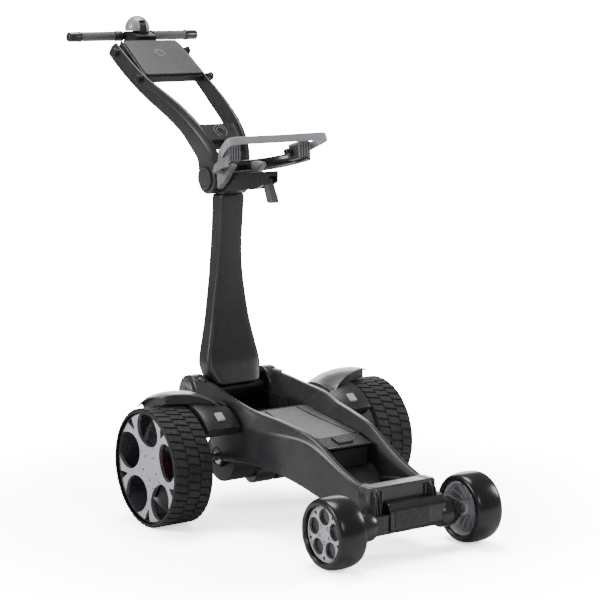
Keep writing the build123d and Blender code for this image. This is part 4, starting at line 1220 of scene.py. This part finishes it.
# ---------------------------------------------------------------- studs and small parts
def studs():
    """Push-on studs with a waist and a dimpled end."""
    profile = [
        (84, 7.4), (93.4, 7.4), (94, 8.4), (94.4, 9.4), (99.4, 9.4), (100, 8.8), (100, 5.2), (98.6, 4.6),
        (98.6, CENTRE_R),
    ]
    for row, (y, z) in enumerate([(455.0, 966.0), (357.0, 911.0)]):
        for side, sign in SIDES.items():
            stands_for = once(sign, "accessory_studs") if row == 0 else ()
            bm = lathe(profile, at(0, y, z), 48, sign)
            piece(
                f"stud_{row}_{side}", bm, GLOSS_BLACK, "handle", stands_for, bevel=(0.4, 2,
                40),
            )


def plain_finishes():
    """Finishes for the frame nodes that keep their own shape."""
    table = {
        STEEL: ["front_axle", "neck_hinge_pin", "handle_pivot_pin", "chassis_screws", "axle_bearings",
                "front_bearings_right", "front_bearings_left", "drive_shaft_right", "drive_shaft_left"],
        GEAR: ["drive_gear_right", "drive_gear_left", "motor_pinion_right", "motor_pinion_left"],
        RED: ["wheel_release_collar_right", "wheel_release_collar_left"],
        BLACK: ["handlebar"],
        KNOB: ["speed_wheel"],
        BOARD: ["motor_controller"],
    }
    for material, nodes in table.items():
        for node in nodes:
            mesh = frame["nodes"][node].data
            mesh.materials.clear()
            mesh.materials.append(material)


# ---------------------------------------------------------------- build
for side, sign in SIDES.items():
    rear_tyre(side, sign)
    spider(side, sign)
    rear_barrel(side, sign)
    front_tyre(side, sign)
    front_hub(side, sign)
    chassis_rail(side, sign)
    mudguard(side, sign)
    handle_arm(side, sign)
deck_louvres()
hatch_ribs()
neck_back_wall()
for side, sign in SIDES.items():
    rail_fittings(side, sign)
for side, sign in SIDES.items():
    nose_side(side, sign)
bracket_front()
post()
cradle()
for side, sign in SIDES.items():
    cradle_tip(side, sign)
strap()
crossbar()
console()
for side, sign in SIDES.items():
    grip(side, sign)
dome()
studs()
plain_finishes()
for node, material, slot, width in [
    ("battery_hatch", DECK, "hatch_plastic", 1.6), ("hatch_latch", GLOSS_BLACK, "hatch_plastic", 1.6),
    ("front_crossmember", GRAPHITE, "chassis_plastic", 2.0), ("front_axle_bracket", BLACK, "pan_black", 2.5),
    ("lower_bag_rest", BLACK, "pad_rubber", 2.0), ("underpan", BLACK, "pan_black", 1.0),
    ("battery_pack", CASE, "battery_black", 2.0), ("post_foot", GLOSS_BLACK, "cast_black", 2.0),
    ("post_head", GLOSS_BLACK, "cast_black", 3.0), ("release_lever", GUARD, "cradle_grey", 2.5),
    ("gearbox_housing_right", BLACK, "gearbox_black", 2.0),
    ("gearbox_housing_left", BLACK, "gearbox_black", 2.0), ("gearbox_lids", BLACK, "gearbox_black", 1.0),
    ("drive_motor_right", GLOSS_BLACK, "motor_black", 2.0),
    ("drive_motor_left", GLOSS_BLACK, "motor_black", 2.0),
]:
    soften(node, material, width)


# ---------------------------------------------------------------- studio
def studio():
    """Pale floor, soft lights and the camera."""
    bm = bmesh.new()
    bmesh.ops.create_circle(bm, cap_ends=True, segments=96, radius=30.0)
    mesh = bpy.data.meshes.new("studio_floor")
    bm.to_mesh(mesh)
    bm.free()
    floor = bpy.data.objects.new("studio_floor", mesh)
    bpy.context.scene.collection.objects.link(floor)
    paper = bpy.data.materials.new("Studio floor")
    paper.use_nodes = True
    tree = paper.node_tree
    shader = tree.nodes["Principled BSDF"]
    seen = tree.nodes.new("ShaderNodeLightPath").outputs["Is Camera Ray"]
    tone = mix_color(tree, seen, (0.85, 0.85, 0.85, 1.0), (8.0, 8.0, 8.0, 1.0))
    shader.inputs["Emission Color"].default_value = (1, 1, 1, 1)
    reach = tree.nodes.new("ShaderNodeVectorMath")
    reach.operation = "LENGTH"
    tree.links.new(object_vector(tree), reach.inputs[0])
    far = spread(tree, reach.outputs["Value"], 0.55, 1.5, 1.0, 18.0)
    tree.links.new(math_node(tree, "MULTIPLY", far, seen), shader.inputs["Emission Strength"])
    tree.links.new(tone, shader.inputs["Base Color"])
    shader.inputs["Roughness"].default_value = 0.7
    shader.inputs["Specular IOR Level"].default_value = 0.1
    mesh.materials.append(paper)

    world = bpy.data.worlds.new("Studio")
    world.use_nodes = True
    tree = world.node_tree
    backdrop = tree.nodes["Background"]
    seen = tree.nodes.new("ShaderNodeLightPath").outputs["Is Camera Ray"]
    backdrop.inputs["Color"].default_value = (1, 1, 1, 1)
    tree.links.new(spread(tree, seen, 0.0, 1.0, 0.30, 20.0), backdrop.inputs["Strength"])
    bpy.context.scene.world = world

    for name, place, size, power in [
        ("top_light", (0.2, 0.5, 3.0), 1.6, 60), ("left_light", (-3.2, 0.6, 1.7), 1.5, 70),
        ("front_light", (-0.6, -3.6, 2.0), 1.2, 20), ("right_light", (3.0, -1.2, 1.6), 1.2, 40),
        ("rear_light", (2.6, 4.2, 1.5), 3.2, 95),
    ]:
        data = bpy.data.lights.new(name, "AREA")
        data.shape = "DISK"
        data.size = size
        data.energy = power
        light = bpy.data.objects.new(name, data)
        light.visible_camera = False
        light.location = place
        light.rotation_mode = "QUATERNION"
        light.rotation_quaternion = (Vector((0, 0, 0.4)) - Vector(place)).to_track_quat("-Z", "Y")
        bpy.context.scene.collection.objects.link(light)

    data = bpy.data.cameras.new("camera")
    data.sensor_width = 36.0
    data.lens = 122.6
    data.clip_start = 0.1
    data.clip_end = 100.0
    camera = bpy.data.objects.new("camera", data)
    forward = Vector((0.56897, 0.80806, -0.15268))
    up = Vector((0.09141, 0.12236, 0.98827))
    right = forward.cross(up)
    camera.matrix_world = Matrix.Translation(at(-2420.50, -3566.21, 1115.45)) @ Matrix(
        ((right.x, up.x, -forward.x), (right.y, up.y, -forward.y), (right.z, up.z, -forward.z))
    ).to_4x4()
    bpy.context.scene.collection.objects.link(camera)
    bpy.context.scene.camera = camera


studio()
